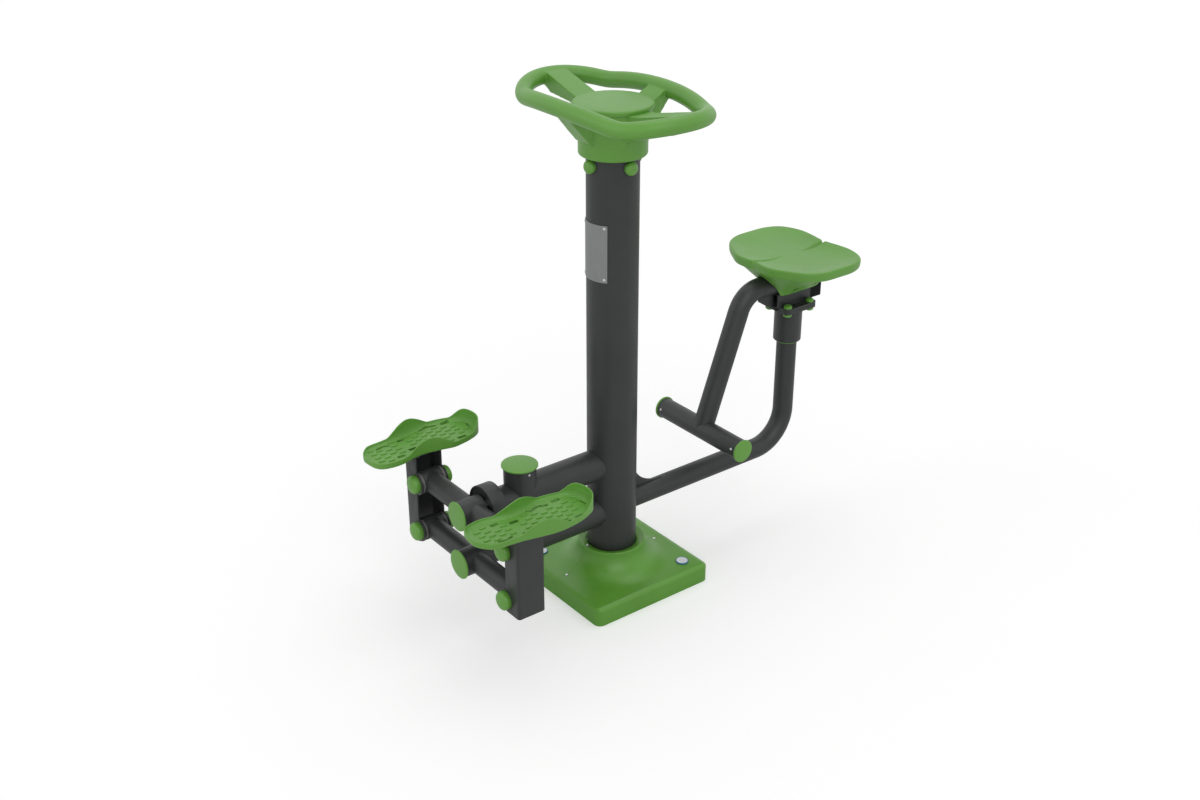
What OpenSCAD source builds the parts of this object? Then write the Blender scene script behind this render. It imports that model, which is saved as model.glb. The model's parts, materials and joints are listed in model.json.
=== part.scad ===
// Outdoor exercise station: a post with a fixed handwheel, a pair of linked
// stepping pedals on one side and a swivelling seat with a footrest on the other.
// Origin: post axis at ground level. +X points to the seat, +Z up.

/* [Post] */
// Outside diameter of the main post
post_d = 139.7; // [130:0.1:145]
// Wall of the main post
post_wall = 4; // [3:0.5:6]
// Height of the post's top end, inside the handwheel
post_top_z = 1340; // [1320:1:1360]

/* [Ground plate and cover] */
// Side of the square ground plate
plate_w = 330; // [310:5:360]
// Thickness of the ground plate
plate_t = 12; // [8:1:16]
// Distance of the anchor holes from the edges of the ground plate
anchor_edge = 30; // [20:1:45]
// Diameter of the anchor holes
anchor_d = 14; // [10:1:18]
// Side of the square cover
cover_w = 400; // [390:5:440]
// Height of the cover's upright skirt
skirt_h = 48; // [40:1:52]
// Height of the cover's flat deck
deck_z = 55; // [53:1:62]
// Width of the bevel between skirt and deck
cover_bevel = 12; // [6:1:18]
// Corner radius of the cover, seen from above
cover_corner_r = 21; // [16:1:40]
// Height of the collar round the post
collar_z = 125; // [110:1:140]
// Outside radius of the collar
collar_r = 96; // [92:1:105]
// Wall of the cover
cover_wall = 4; // [3:0.5:5]
// Width of the tongue under the cover's seam
cover_lap = 12; // [12:1:16]
// Distance of the deck screws from the post's axis
deck_screw_r = 160; // [150:1:164]
// Distance of the collar screws from the post's axis
collar_screw_r = 85; // [80:1:87]
// Diameter of the round corner discs
disc_d = 36; // [28:1:44]
// Distance of the corner discs from the cover's edges
disc_in = 55; // [45:1:58]

/* [Handwheel] */
// Mean height of the rim's centreline
rim_z = 1399.5; // [1390:0.5:1410]
// Rise of the rim's centreline at the spokes, and its dip at the corners
rim_wave = 7.3; // [2:0.1:10]
// Thickness of the rim
rim_d = 44; // [38:0.5:46]
// Half length of the rim's centreline, towards the seat
rim_half_l = 163.5; // [158:0.5:175]
// Half width of the rim's centreline
rim_half_w = 281; // [270:1:300]
// Width of the four spokes
spoke_w = 70; // [50:1:80]
// Radius of the hub's lid
hub_r = 105; // [97:0.5:108]
// Radius of the skirt round the post
skirt_r = 89.6; // [84:0.2:94]
// Height of the skirt's lower edge
skirt_low_z = 1264.7; // [1262:0.1:1272]
// Height at which the skirt ends and the hub flares
skirt_top_z = 1298.7; // [1290:0.1:1305]
// Height of the lid's top
lid_z = 1399; // [1392:1:1403]
// Height of the bolts that hold the handwheel's stem
wheel_bolt_z = 1242; // [1225:1:1243]
// Shank diameter of the handwheel bolts
wheel_bolt_d = 10; // [8:1:12]
// Diameter of the dome caps over the handwheel bolts
wheel_cap_d = 37; // [30:1:42]
// Height of those dome caps
wheel_cap_h = 19; // [12:1:22]

/* [Information plate] */
// Height of the plate's centre
info_z = 1013.5; // [950:0.5:1060]
// Height of the plate
info_h = 157; // [120:1:180]
// Angle that the plate wraps round the post
info_a = 82; // [60:1:110]
// Thickness of the plate
info_t = 2; // [1:0.5:3]
// Head diameter of the plate's rivets
rivet_d = 8; // [6:0.5:10]

/* [Beams] */
// Outside diameter of the two stepper beams and the end post
beam_d = 88.9; // [80:0.1:95]
// Wall of the stepper beams
beam_wall = 4; // [3:0.5:6]
// Height of the upper stepper beam and the upper pivots
beam_high_z = 377.5; // [365:0.5:385]
// Height of the lower stepper beam and the lower pivots
beam_low_z = 229.7; // [222:0.1:238]
// Height of the seat beam
seat_beam_z = 228.2; // [222:0.1:238]
// Distance from the post to the end post, axis to axis
end_post_x = 312; // [300:1:318]
// Height of the end post's lower end
end_post_low_z = 180; // [165:1:184]
// Height of the end post's upper end
end_post_top_z = 463; // [450:1:470]
// Diameter of the end post's cap
end_cap_d = 99; // [95:0.5:104]
// Thickness of that cap's rim
end_cap_t = 2.5; // [2:0.5:4]
// Rise of that cap's dome
end_cap_rise = 3; // [1:0.5:6]

/* [Stepper linkage] */
// Distance from the post's axis to the crossbars' centrelines
link_x = 466.5; // [464:0.5:474]
// Distance of the pedal pivots from the middle plane
pivot_y = 212; // [200:1:222]
// Outside diameter of the crossbar tubes
cross_d = 60.3; // [54:0.1:61]
// Wall of the crossbar tubes
cross_wall = 4; // [3:0.5:5]
// Outside diameter of the central hubs
hub_d = 76.1; // [72:0.1:80]
// Wall of the central hubs
hub_wall = 5; // [4:0.5:7]
// Reach of the hubs ahead of the crossbars' centreline
hub_front = 45; // [38:1:48]
// Reach of the hubs behind the crossbars' centreline
hub_back = 26; // [22:1:27]
// Diameter of the hub caps
hub_cap_d = 82; // [78:1:90]
// Thickness of the hub caps
hub_cap_t = 6; // [4:0.5:9]
// Diameter of the two fixed axles
axle_d = 30; // [24:1:34]
// Diameter of the bearing drum behind the upper hub
drum_d = 120; // [100:1:130]
// Length of the bearing drum
drum_l = 42; // [32:1:47]
// Diameter of the neck between drum and end post
neck_d = 76.1; // [60:0.1:84]
// Diameter of the neck behind the lower hub
low_neck_d = 60.3; // [48:0.1:70]
// Outside diameter of the crossbars' end sleeves
sleeve_d = 63.5; // [61.5:0.1:68]
// Wall of the end sleeves
sleeve_wall = 5; // [4:0.5:7]
// Shank diameter of the pivot bolts
pivot_d = 20; // [16:1:24]
// Diameter of the pivot caps
pivot_cap_d = 52; // [46:1:58]
// Height of the pivot caps
pivot_cap_h = 22; // [17:0.5:26]
// Running clearance between a shaft and its bush, on the radius
run_fit = 0.05; // [0.02:0.01:0.1]
// Clearance between faces that turn past each other
turn_gap = 0.3; // [0.3:0.05:0.6]

/* [Pedals] */
// Outside width of the pedal channels
channel_w = 84; // [80:1:88]
// Thickness of the channels' plate
channel_t = 5; // [4:0.5:6]
// Distance of the channels' outer face from the middle plane
channel_y = 269; // [262:1:276]
// Outside bend radius of the channels
channel_r = 8; // [6:0.5:12]
// Height of the channels' lower end
channel_low_z = 194.5; // [185:0.5:197]
// Radius of the lugs round the pivots
lug_r = 32; // [30:0.5:34]
// Height of the trays' underside
tray_z = 462; // [455:1:470]
// Length of a tray
tray_l = 350; // [320:1:380]
// Width of a tray
tray_w = 154; // [140:1:160]
// Distance of the trays' centreline from the middle plane
tray_y = 262; // [255:1:270]
// Distance from the post's axis to the trays' heel ends
tray_heel_x = 633; // [620:1:645]
// Thickness of the trays' floor
tray_floor = 7; // [6:0.5:9]
// Wall of the trays' rim
tray_wall = 5; // [4:0.5:6]
// Height of the trays' low rim above the underside
tray_rim_h = 18; // [15:0.5:22]
// Height of the outer ear above the underside
outer_ear_h = 48; // [40:1:54]
// Height of the inner ear above the underside
inner_ear_h = 45; // [34:1:48]
// Height of the toe wall above the underside
toe_h = 45; // [38:1:52]
// Length of the grip bars on the floor
grip_l = 15; // [10:1:18]
// Width of the grip bars
grip_w = 4; // [2:0.5:5]
// Height of the grip bars
grip_h = 1; // [0.5:0.5:2]
// Distance between rows of grip bars
grip_pitch = 11.5; // [10:0.5:14]
// Length of the mounting plates under the trays
seat_plate_l = 100; // [90:1:110]
// Shank diameter of the tray screws
tray_screw_d = 8; // [6:0.5:10]

/* [Seat support] */
// Outside diameter of the seat beam, the footrest arm and the footrest bar
tube_d = 60.3; // [56:0.1:62]
// Wall of those tubes
tube_wall = 4; // [3:0.5:5]
// Distance from the post's axis to the swivel axis
swivel_x = 661.5; // [645:0.5:680]
// Bend radius of the seat beam
beam_bend_r = 110; // [90:1:125]
// Length of the gusset along the seat beam
gusset_l = 108; // [80:1:130]
// Height of the gusset along the post
gusset_h = 99; // [70:1:120]
// Thickness of the gussets
gusset_t = 8; // [5:0.5:12]
// Diameter of the spindle
spindle_d = 50; // [44:1:51]
// Outside diameter of the swivel sleeve
swivel_d = 82.5; // [80:0.1:86]
// Wall of the swivel sleeve
swivel_wall = 5; // [4:0.5:7]
// Height of the swivel sleeve's lower end
swivel_low_z = 566; // [555:1:575]
// Length of the swivel sleeve
swivel_l = 102; // [94:1:109]
// Thickness of the thrust ring under the sleeve
ring_t = 5; // [4:0.5:7]
// Thickness of each flange plate
flange_t = 9; // [7:0.5:10]
// Half width of the flange plates
flange_half_w = 50; // [49:1:54]
// Reach of the flange plates towards the post
flange_front = 54; // [53:1:58]
// Distance of the front bolts from the swivel axis, towards the post
bolt_front_x = 41; // [39:0.5:41.5]
// Distance of the rear bolts from the swivel axis
bolt_back_x = 47; // [40:0.5:50]
// Reach of the flange plates away from the post
flange_back = 67; // [62:1:72]
// Shank diameter of the flange bolts
flange_bolt_d = 12; // [10:1:12]
// Diameter of the caps on the flange bolts
bolt_cap_d = 24; // [23:0.5:25]
// Height of those caps
bolt_cap_h = 9.5; // [9:0.5:11]
// Width of the bracket's box section
box_w = 44; // [40:1:48]
// Height of the bracket's box section
box_h = 42; // [38:1:46]
// Wall of the box section
box_wall = 4; // [3:0.5:5]
// Reach of the box section towards the post
box_front = 68; // [60:1:72]
// Reach of the box section away from the post
box_back = 108; // [98:1:115]

/* [Footrest] */
// Distance from the post's axis to the footrest bar
rest_x = 337; // [330:0.5:345]
// Drop from the swivel sleeve's upper end to the footrest bar
rest_drop = 303; // [288:1:313]
// Overall length of the footrest, over its caps
rest_l = 350; // [320:1:380]
// Slope of the arm from upright
arm_a = 19.9; // [18:0.1:22]
// Bend radius of the arm
arm_r = 80; // [70:1:95]
// Thickness of the footrest caps' flange
rest_cap_t = 4; // [3:0.5:6]
// Width by which that flange stands proud of the tube
rest_cap_lip = 1.5; // [0.5:0.5:3]

/* [Seat] */
// Length of the seat's outline scale
seat_l = 294; // [275:1:305]
// Width of the seat
seat_w = 383; // [360:1:395]
// Rise from the swivel sleeve's upper end to the seat's rim
seat_rise = 179; // [172:1:187]
// Depth of the dish below the rim
seat_dish = 12; // [6:1:16]
// Depth of the seat's edge
seat_edge = 32; // [24:1:36]
// Half width of the boss under the seat
boss_half_w = 39; // [36:1:44]
// Reach of the boss towards the post
boss_front = 75; // [66:1:80]
// Reach of the boss away from the post
boss_back = 89; // [82:1:96]
// Gap between the boss and the box section below it
boss_gap = 2; // [1:0.5:4]

/* [Hidden] */

// Overrun of every cut
cut = 1;
// Clearance of a loose hole or a loose socket
loose = 0.3;
// Clearance of a close hole
close_fit = 0.1;

green = [0.30, 0.58, 0.22];
steel = [0.24, 0.25, 0.25];
zinc = [0.72, 0.73, 0.75];
pale = [0.85, 0.86, 0.84];

post_r = post_d / 2;
beam_r = beam_d / 2;
tube_r = tube_d / 2;
cross_r = cross_d / 2;
anchor_spacing = plate_w - 2 * anchor_edge;
swivel_top_z = swivel_low_z + swivel_l;
rest_z = swivel_top_z - rest_drop;
seat_z = swivel_top_z + seat_rise;

$fn = 64;

// Helpers

// Cylinder along +X from x0 to x1
module bar_x(r, x0, x1) {
    translate([x0, 0, 0]) rotate([0, 90, 0]) cylinder(r = r, h = x1 - x0);
}

// Cylinder along +Y from y0 to y1
module bar_y(r, y0, y1) {
    translate([0, y1, 0]) rotate([90, 0, 0]) cylinder(r = r, h = y1 - y0);
}

// Domed cap on the XY plane: radius r, height h, upright edge e
module dome(r, h, e) {
    sphere_r = (r * r + (h - e) * (h - e)) / (2 * (h - e));
    rotate_extrude() intersection() {
        square([r, h]);
        translate([0, h - sphere_r]) circle(sphere_r, $fn = 64 * ceil(sphere_r / r));
    }
}

// Domed cap with a round pocket for a bolt's head
module hollow_dome(r, h, e, pocket_r, pocket_h) {
    difference() {
        dome(r, h, e);
        translate([0, 0, -cut]) cylinder(r = pocket_r, h = pocket_h + cut);
    }
}

// Hexagonal head or nut of width w across its corners
module hex(w, h) {
    cylinder(d = w, h = h, $fn = 6);
}

// Pan-headed screw: head on the XY plane upwards, shank below
module pan_screw(head_d, head_h, shank_d, shank_l) {
    dome(head_d / 2, head_h, head_h * 0.4);
    translate([0, 0, -shank_l]) cylinder(d = shank_d, h = shank_l + head_h * 0.2);
}

// Rectangle with round corners
module round_rect(x0, x1, y0, y1, r) {
    translate([x0 + r, y0]) square([x1 - x0 - 2 * r, y1 - y0]);
    translate([x0, y0 + r]) square([x1 - x0, y1 - y0 - 2 * r]);
    for (x = [x0 + r, x1 - r], y = [y0 + r, y1 - r]) translate([x, y]) circle(r);
}

// Closed curve through control points, n steps between neighbours
function curve(pts, n) = [for (i = [0 : len(pts) - 1], k = [0 : n - 1])
    let (c = len(pts), t = k / n,
        a = pts[(i + c - 1) % c], b = pts[i], d = pts[(i + 1) % c], e = pts[(i + 2) % c])
    (2 * b + (d - a) * t + (2 * a - 5 * b + 4 * d - e) * t * t
        + (3 * b - a - 3 * d + e) * t * t * t) / 2];

// The same closed curve moved inwards by w; the points run anticlockwise
function inset(pts, w) = [for (i = [0 : len(pts) - 1])
    let (c = len(pts), d = pts[(i + 1) % c] - pts[(i + c - 1) % c])
    pts[i] + w * [-d[1], d[0]] / norm(d)];

function smooth(t) = let (u = max(0, min(1, t))) u * u * (3 - 2 * u);

// Ground plate and cover

module base_plate() {
    color(steel) difference() {
        translate([-plate_w / 2, -plate_w / 2, 0]) cube([plate_w, plate_w, plate_t]);
        for (x = [-1, 1], y = [-1, 1])
            translate([x * anchor_spacing / 2, y * anchor_spacing / 2, -cut])
                cylinder(d = anchor_d, h = plate_t + 2 * cut);
    }
}

flare_r = collar_z - deck_z;

// Outline of the pan from the side, inset by i
module pan_side(i) {
    w = cover_w / 2 - i;
    polygon([[-w, 0], [w, 0], [w, skirt_h - i / 2], [w - cover_bevel, deck_z - i],
        [cover_bevel - w, deck_z - i], [-w, skirt_h - i / 2]]);
}

// Solid shape of the cover, inset by i
module cover_body(i) {
    w = cover_w / 2 - i;
    intersection() {
        linear_extrude(deck_z) round_rect(-w, w, -w, w, cover_corner_r - i);
        translate([0, w, 0]) rotate([90, 0, 0]) linear_extrude(2 * w) pan_side(i);
        translate([-w, 0, 0]) rotate([90, 0, 90]) linear_extrude(2 * w) pan_side(i);
    }
    rotate_extrude($fn = 96) difference() {
        square([collar_r + flare_r, collar_z - i]);
        translate([collar_r + flare_r, collar_z]) circle(flare_r + i, $fn = 128);
        translate([collar_r - i, collar_z - i]) square([flare_r + i + cut, i + cut]);
        translate([collar_r + flare_r - i, deck_z - i]) square([i + cut, flare_r]);
    }
}

// Everything on one side of the cover's seam; s is 1 for left and -1 for right
module seam_side(s) {
    y = cover_lap / 2;
    big = cover_w;
    translate([-big, s > 0 ? y : y - 2 * big, -cut]) cube([2 * big, 2 * big, big]);
}

module cover_holes() {
    translate([0, 0, -cut]) cylinder(r = post_r + loose, h = collar_z + 2 * cut);
    for (s = [-1, 1]) {
        translate([s * deck_screw_r, 0, 0]) cylinder(d = cover_screw_d + loose, h = collar_z);
        translate([s * deck_screw_r, 0, deck_z]) cylinder(d = cover_head_d + loose, h = cover_lap);
        translate([s * collar_screw_r, 0, 0]) cylinder(d = cover_screw_d + loose, h = collar_z + cut);
    }
}

cover_screw_d = cover_wall;
cover_head_d = cover_wall * 2.3;

module cover_left() {
    color(green) difference() {
        union() {
            intersection() {
                difference() {
                    cover_body(0);
                    translate([0, 0, -cut]) cover_body(cover_wall);
                    cover_body(cover_wall);
                }
                seam_side(1);
            }
            intersection() {
                difference() {
                    cover_body(cover_wall);
                    translate([0, 0, -cut]) cover_body(2 * cover_wall);
                    cover_body(2 * cover_wall);
                }
                translate([-cover_w, -cover_lap / 2, -cut])
                    cube([2 * cover_w, 2 * cover_lap, cover_w]);
            }
        }
        cover_holes();
    }
}

module cover_right() {
    color(green) difference() {
        intersection() {
            difference() {
                cover_body(0);
                translate([0, 0, -cut]) cover_body(cover_wall);
                cover_body(cover_wall);
            }
            seam_side(-1);
        }
        cover_holes();
    }
}

module cover_screws() {
    color(zinc) for (s = [-1, 1]) {
        translate([s * deck_screw_r, 0, deck_z])
            pan_screw(cover_head_d, cover_screw_d * 0.6, cover_screw_d, 3 * cover_wall);
        translate([s * collar_screw_r, 0, collar_z])
            pan_screw(cover_head_d, cover_screw_d * 0.6, cover_screw_d, 3 * cover_wall);
    }
}

module cover_discs() {
    c = cover_w / 2 - disc_in;
    color(pale) for (s = [-1, 1])
        translate([s * c, -s * c, deck_z]) cylinder(d = disc_d, h = cover_wall * 0.4);
}

// Post, information plate and handwheel

stem_r = post_r - post_wall - close_fit;

module main_post() {
    color(steel) difference() {
        translate([0, 0, plate_t]) cylinder(r = post_r, h = post_top_z - plate_t, $fn = 96);
        translate([0, 0, plate_t - cut])
            cylinder(r = post_r - post_wall, h = post_top_z - plate_t + 2 * cut, $fn = 96);
        for (a = [0 : 90 : 270]) rotate(a) translate([0, 0, wheel_bolt_z])
            bar_x(wheel_bolt_d / 2 + close_fit, post_r - 2 * post_wall, post_r + cut);
        for (a = rivet_angles, z = rivet_heights) rotate(a) translate([0, 0, z])
            bar_x(rivet_shank_r, post_r - 2 * post_wall, post_r + cut);
    }
}

rivet_shank_r = rivet_d / 4;
rivet_in = rivet_d;
rivet_angles = [for (s = [-1, 1]) 180 + s * (info_a / 2 - asin(rivet_in / post_r))];
rivet_heights = [for (s = [-1, 1]) info_z + s * (info_h / 2 - rivet_in)];

module info_plate() {
    color(pale) difference() {
        translate([0, 0, info_z - info_h / 2]) rotate(180 - info_a / 2)
            rotate_extrude(angle = info_a, $fn = 96) translate([post_r, 0]) square([info_t, info_h]);
        for (a = rivet_angles, z = rivet_heights) rotate(a) translate([0, 0, z])
            bar_x(rivet_shank_r, post_r - cut, post_r + info_t + cut);
    }
}

module plate_rivets() {
    color(zinc) for (a = rivet_angles, z = rivet_heights) rotate(a) translate([0, 0, z])
        translate([post_r + info_t, 0, 0]) rotate([0, 90, 0])
            pan_screw(rivet_d, rivet_d / 5, 2 * (rivet_shank_r - close_fit), post_wall + info_t);
}

// Shares of the rim's half length and half width that its 1st, 3rd and 5th harmonic have
rim_l_shares = [1.075, -0.13, 0.055];
rim_w_shares = [0.991, 0.048, 0.057];
rim_steps = 96;
rim_sides = 18;
rim_high_z = rim_z + rim_wave;

// Point of the rim's centreline at the angle a
function rim_at(a) = [
    rim_half_l * rim_l_shares * [cos(a), cos(3 * a), cos(5 * a)],
    rim_half_w * rim_w_shares * [sin(a), sin(3 * a), sin(5 * a)],
    rim_z + rim_wave * cos(4 * a)];

// Wavy round ring with four lobes
module rim() {
    points = [for (k = [0 : rim_steps - 1])
        let (a = 360 * k / rim_steps, c = rim_at(a), t = rim_at(a + 1) - rim_at(a - 1),
            out = [t[1], -t[0], 0] / norm([t[0], t[1]]), up = cross(out, t) / norm(t))
        for (i = [0 : rim_sides - 1]) let (b = 360 * (i + 0.5) / rim_sides)
            c + rim_d / 2 * (out * cos(b) + up * sin(b))];
    faces = [for (k = [0 : rim_steps - 1], i = [0 : rim_sides - 1], h = [0, 1])
        let (a = k * rim_sides, b = (k + 1) % rim_steps * rim_sides, j = (i + 1) % rim_sides)
        h == 0 ? [a + i, b + j, b + i] : [a + i, a + j, b + j]];
    polyhedron(points, faces);
}

// Side view of a spoke from the hub out to a rim at distance r
module spoke_side(r) {
    rise = tan(49);
    foot = skirt_r - rim_d / 4;
    web_z = rim_z - rim_d * 0.75;
    knee = skirt_r + (web_z - skirt_top_z) / rise;
    polygon(concat([[0, lid_z - rim_d / 4], [0, skirt_top_z], [foot, skirt_top_z]],
        knee < r - rim_d ? [[knee, web_z], [r - rim_d, web_z]] : [],
        [[r + rim_d * 0.1, rim_high_z - rim_d * 0.44], [r, rim_high_z + rim_d * 0.4],
            [hub_r, lid_z - rim_d / 4]]));
}

module spoke(r, turn, skew) {
    rotate(turn) intersection() {
        rotate([90, 0, 0]) translate([0, 0, -spoke_w])
            linear_extrude(2 * spoke_w) spoke_side(r);
        linear_extrude(2 * rim_z) polygon([[0, -spoke_w / 2], [hub_r, skew * 0.3 - spoke_w / 2],
            [r + rim_d / 2, skew - spoke_w / 2], [r + rim_d / 2, skew + spoke_w / 2],
            [hub_r, skew * 0.3 + spoke_w / 2], [0, spoke_w / 2]]);
    }
}

module handwheel() {
    lean = spoke_w * 0.2;
    color(green) difference() {
        union() {
            rim();
            spoke(rim_half_l, 0, 0);
            spoke(rim_half_l, 180, 0);
            spoke(rim_half_w, 90, -lean);
            spoke(rim_half_w, 270, lean);
            rotate_extrude($fn = 96) hub_side();
        }
        translate([0, 0, skirt_low_z - cut])
            cylinder(r = post_r + loose, h = post_top_z + loose + cut - skirt_low_z, $fn = 96);
        cylinder(r = stem_r + close_fit, h = stem_top_z + loose, $fn = 96);
    }
}

// Half section of the handwheel's hub
module hub_side() {
    lip = rim_d / 4;
    polygon([[0, skirt_low_z], [skirt_r - lip / 2, skirt_low_z], [skirt_r, skirt_low_z + lip / 2],
        [skirt_r, skirt_top_z], [hub_r - lip / 2, skirt_top_z + rim_d],
        [hub_r - lip / 2, lid_z - 1.6 * lip], [hub_r, lid_z - 1.2 * lip],
        [hub_r, lid_z - lip / 3], [hub_r - lip / 3, lid_z], [0, lid_z]]);
}

stem_top_z = lid_z - rim_d / 2;
stem_low_z = wheel_bolt_z - wheel_cap_d;

module wheel_stem() {
    color(steel) difference() {
        translate([0, 0, stem_low_z]) cylinder(r = stem_r, h = stem_top_z - stem_low_z, $fn = 96);
        translate([0, 0, stem_low_z - cut])
            cylinder(r = stem_r - post_wall, h = stem_top_z - stem_low_z + 2 * cut, $fn = 96);
        for (a = [0 : 90 : 270]) rotate(a) translate([0, 0, wheel_bolt_z])
            bar_x(wheel_bolt_d / 2, stem_r - 2 * post_wall, stem_r + cut);
    }
}

wheel_head_r = wheel_bolt_d * 0.9;
wheel_head_h = wheel_bolt_d * 0.6;

module wheel_bolts() {
    color(zinc) for (a = [0 : 90 : 270]) rotate(a) translate([0, 0, wheel_bolt_z]) {
        bar_x(wheel_bolt_d / 2, stem_r - post_wall, post_r + wheel_head_h / 2);
        translate([post_r, 0, 0]) rotate([0, 90, 0]) hex(2 * wheel_head_r, wheel_head_h);
    }
}

module wheel_bolt_caps() {
    r = wheel_cap_d / 2;
    sunk = post_r - sqrt(post_r * post_r - r * r) + cut;
    color(green) for (a = [0 : 90 : 270]) rotate(a) difference() {
        translate([post_r - sunk, 0, wheel_bolt_z]) rotate([0, 90, 0])
            hollow_dome(r, wheel_cap_h + sunk, sunk + wheel_cap_h / 5,
                wheel_head_r + loose, sunk + wheel_head_h + loose);
        translate([0, 0, wheel_bolt_z - wheel_cap_d])
            cylinder(r = post_r, h = 2 * wheel_cap_d, $fn = 288);
    }
}

// Beams and end post

// Hollow bar along X between two upright tubes, shaped to fit them
module coped_beam(r, wall, x0, r0, x1, r1) {
    difference() {
        bar_x(r, x0, x1);
        bar_x(r - wall, x0 - cut, x1 + cut);
        translate([x0, 0, -2 * r]) cylinder(r = r0, h = 4 * r, $fn = 96);
        translate([x1, 0, -2 * r]) cylinder(r = r1, h = 4 * r, $fn = 96);
    }
}

module upper_beam() {
    color(steel) translate([0, 0, beam_high_z])
        coped_beam(beam_r, beam_wall, -end_post_x, beam_r, 0, post_r);
}

module lower_beam() {
    color(steel) translate([0, 0, beam_low_z])
        coped_beam(beam_r, beam_wall, -end_post_x, beam_r, 0, post_r);
}

end_screw_d = end_cap_d / 14;
end_screw_z = end_post_top_z - end_screw_d * 1.6;

module end_post() {
    color(steel) translate([-end_post_x, 0, 0]) difference() {
        translate([0, 0, end_post_low_z]) cylinder(r = beam_r, h = end_post_top_z - end_post_low_z);
        translate([0, 0, end_post_low_z - cut])
            cylinder(r = beam_r - beam_wall, h = end_post_top_z - end_post_low_z + 2 * cut);
        rotate(-90) translate([0, 0, end_screw_z])
            bar_x(end_screw_d / 4 + close_fit, beam_r - 2 * beam_wall, beam_r + cut);
    }
}

module end_post_cap() {
    plug_h = end_cap_d / 4;
    plug_r = beam_r - beam_wall - close_fit;
    color(green) translate([-end_post_x, 0, end_post_top_z]) difference() {
        union() {
            dome(end_cap_d / 2, end_cap_t + end_cap_rise, end_cap_t);
            translate([0, 0, -plug_h]) cylinder(r = plug_r, h = plug_h);
        }
        translate([0, 0, -plug_h - cut]) cylinder(r = plug_r - beam_wall, h = plug_h + cut);
        rotate(-90) translate([0, 0, end_screw_z - end_post_top_z])
            bar_x(end_screw_d / 4, plug_r - 2 * beam_wall, plug_r + cut);
    }
}

module end_cap_screw() {
    color(zinc) translate([-end_post_x, 0, end_screw_z]) rotate(-90)
        translate([beam_r, 0, 0]) rotate([0, 90, 0])
            pan_screw(end_screw_d, end_screw_d * 0.4, end_screw_d / 2, 2 * beam_wall);
}

// Bearings between the frame and the crossbars

drum_front_x = cross_r + turn_gap;
drum_back_x = drum_front_x + drum_l;

module bearing_drum() {
    lip = drum_d / 30;
    reach = end_post_x - link_x;
    color(steel) translate([-link_x, 0, beam_high_z]) difference() {
        union() {
            bar_x(drum_d / 2, drum_front_x, drum_back_x, $fn = 96);
            bar_x(neck_d / 2, drum_back_x, -reach);
        }
        bar_x(drum_d / 2 - lip, drum_front_x - cut, drum_front_x + lip, $fn = 96);
        bar_x(axle_d / 2, drum_front_x - cut, drum_back_x);
        translate([-reach, 0, -drum_d]) cylinder(r = beam_r, h = 2 * drum_d);
    }
}

module lower_neck() {
    reach = end_post_x - link_x;
    color(steel) translate([-link_x, 0, beam_low_z]) difference() {
        bar_x(low_neck_d / 2, hub_back + turn_gap * 4, -reach);
        bar_x(axle_d / 2, hub_back, drum_back_x);
        translate([-reach, 0, -drum_d]) cylinder(r = beam_r, h = 2 * drum_d);
    }
}

bush_l = (hub_front + hub_back) * 0.3;
hub_plug = hub_cap_t;
nut_t = axle_d * 0.25;
nut_x = -hub_front + hub_plug + turn_gap * 3;

module link_axles() {
    color(zinc) for (z = [beam_low_z, beam_high_z]) translate([-link_x, 0, z])
        bar_x(axle_d / 2, nut_x, drum_back_x);
}

module axle_nuts() {
    color(zinc) for (z = [beam_low_z, beam_high_z])
        translate([nut_x - link_x, 0, z]) rotate([0, 90, 0]) difference() {
            hex(axle_d * 1.6, nut_t);
            translate([0, 0, -cut]) cylinder(d = axle_d, h = nut_t + 2 * cut);
        }
}

// Crossbars

// Ring-shaped bush along X with a flange at its low-x end
module bush(bore_r, r, l, flange_r, flange_h) {
    rotate([0, 90, 0]) difference() {
        union() {
            cylinder(r = r, h = l);
            translate([0, 0, -flange_h]) cylinder(r = flange_r, h = flange_h);
        }
        translate([0, 0, -flange_h - cut]) cylinder(r = bore_r, h = l + flange_h + 2 * cut);
    }
}

sleeve_half = sleeve_d * 0.47;
sleeve_bore_r = sleeve_d / 2 - sleeve_wall;
end_flange_h = channel_w / 2 - channel_t - sleeve_half - turn_gap;
hub_bore_r = hub_d / 2 - hub_wall;

module cross_tubes() {
    difference() {
        bar_y(cross_r, -pivot_y, pivot_y);
        bar_y(cross_r - cross_wall, -pivot_y - cut, pivot_y + cut);
        bar_x(hub_d / 2, -hub_d, hub_d);
        for (s = [-1, 1]) translate([0, s * pivot_y, 0]) bar_x(sleeve_d / 2, -hub_d, hub_d);
    }
}

module cross_hub() {
    difference() {
        bar_x(hub_d / 2, -hub_front, hub_back);
        bar_x(hub_bore_r, -hub_front - cut, hub_back + cut);
    }
}

module cross_sleeves() {
    for (s = [-1, 1]) translate([0, s * pivot_y, 0]) difference() {
        bar_x(sleeve_d / 2, -sleeve_half, sleeve_half);
        bar_x(sleeve_bore_r, -sleeve_half - cut, sleeve_half + cut);
    }
}

module cross_bushes() {
    hub_flange = hub_d * 0.44;
    front = nut_x + nut_t + turn_gap + turn_gap;
    translate([front + turn_gap, 0, 0])
        bush(axle_d / 2 + run_fit, hub_bore_r, bush_l, hub_bore_r, turn_gap);
    translate([hub_back, 0, 0]) mirror([1, 0, 0])
        bush(axle_d / 2 + run_fit, hub_bore_r, bush_l, hub_flange, 3 * turn_gap);
    for (s = [-1, 1], m = [0, 1]) translate([0, s * pivot_y, 0]) mirror([m, 0, 0])
        translate([-sleeve_half, 0, 0])
            bush(pivot_d / 2 + run_fit, sleeve_bore_r, sleeve_half * 0.6, sleeve_d * 0.46,
                end_flange_h);
}

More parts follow.
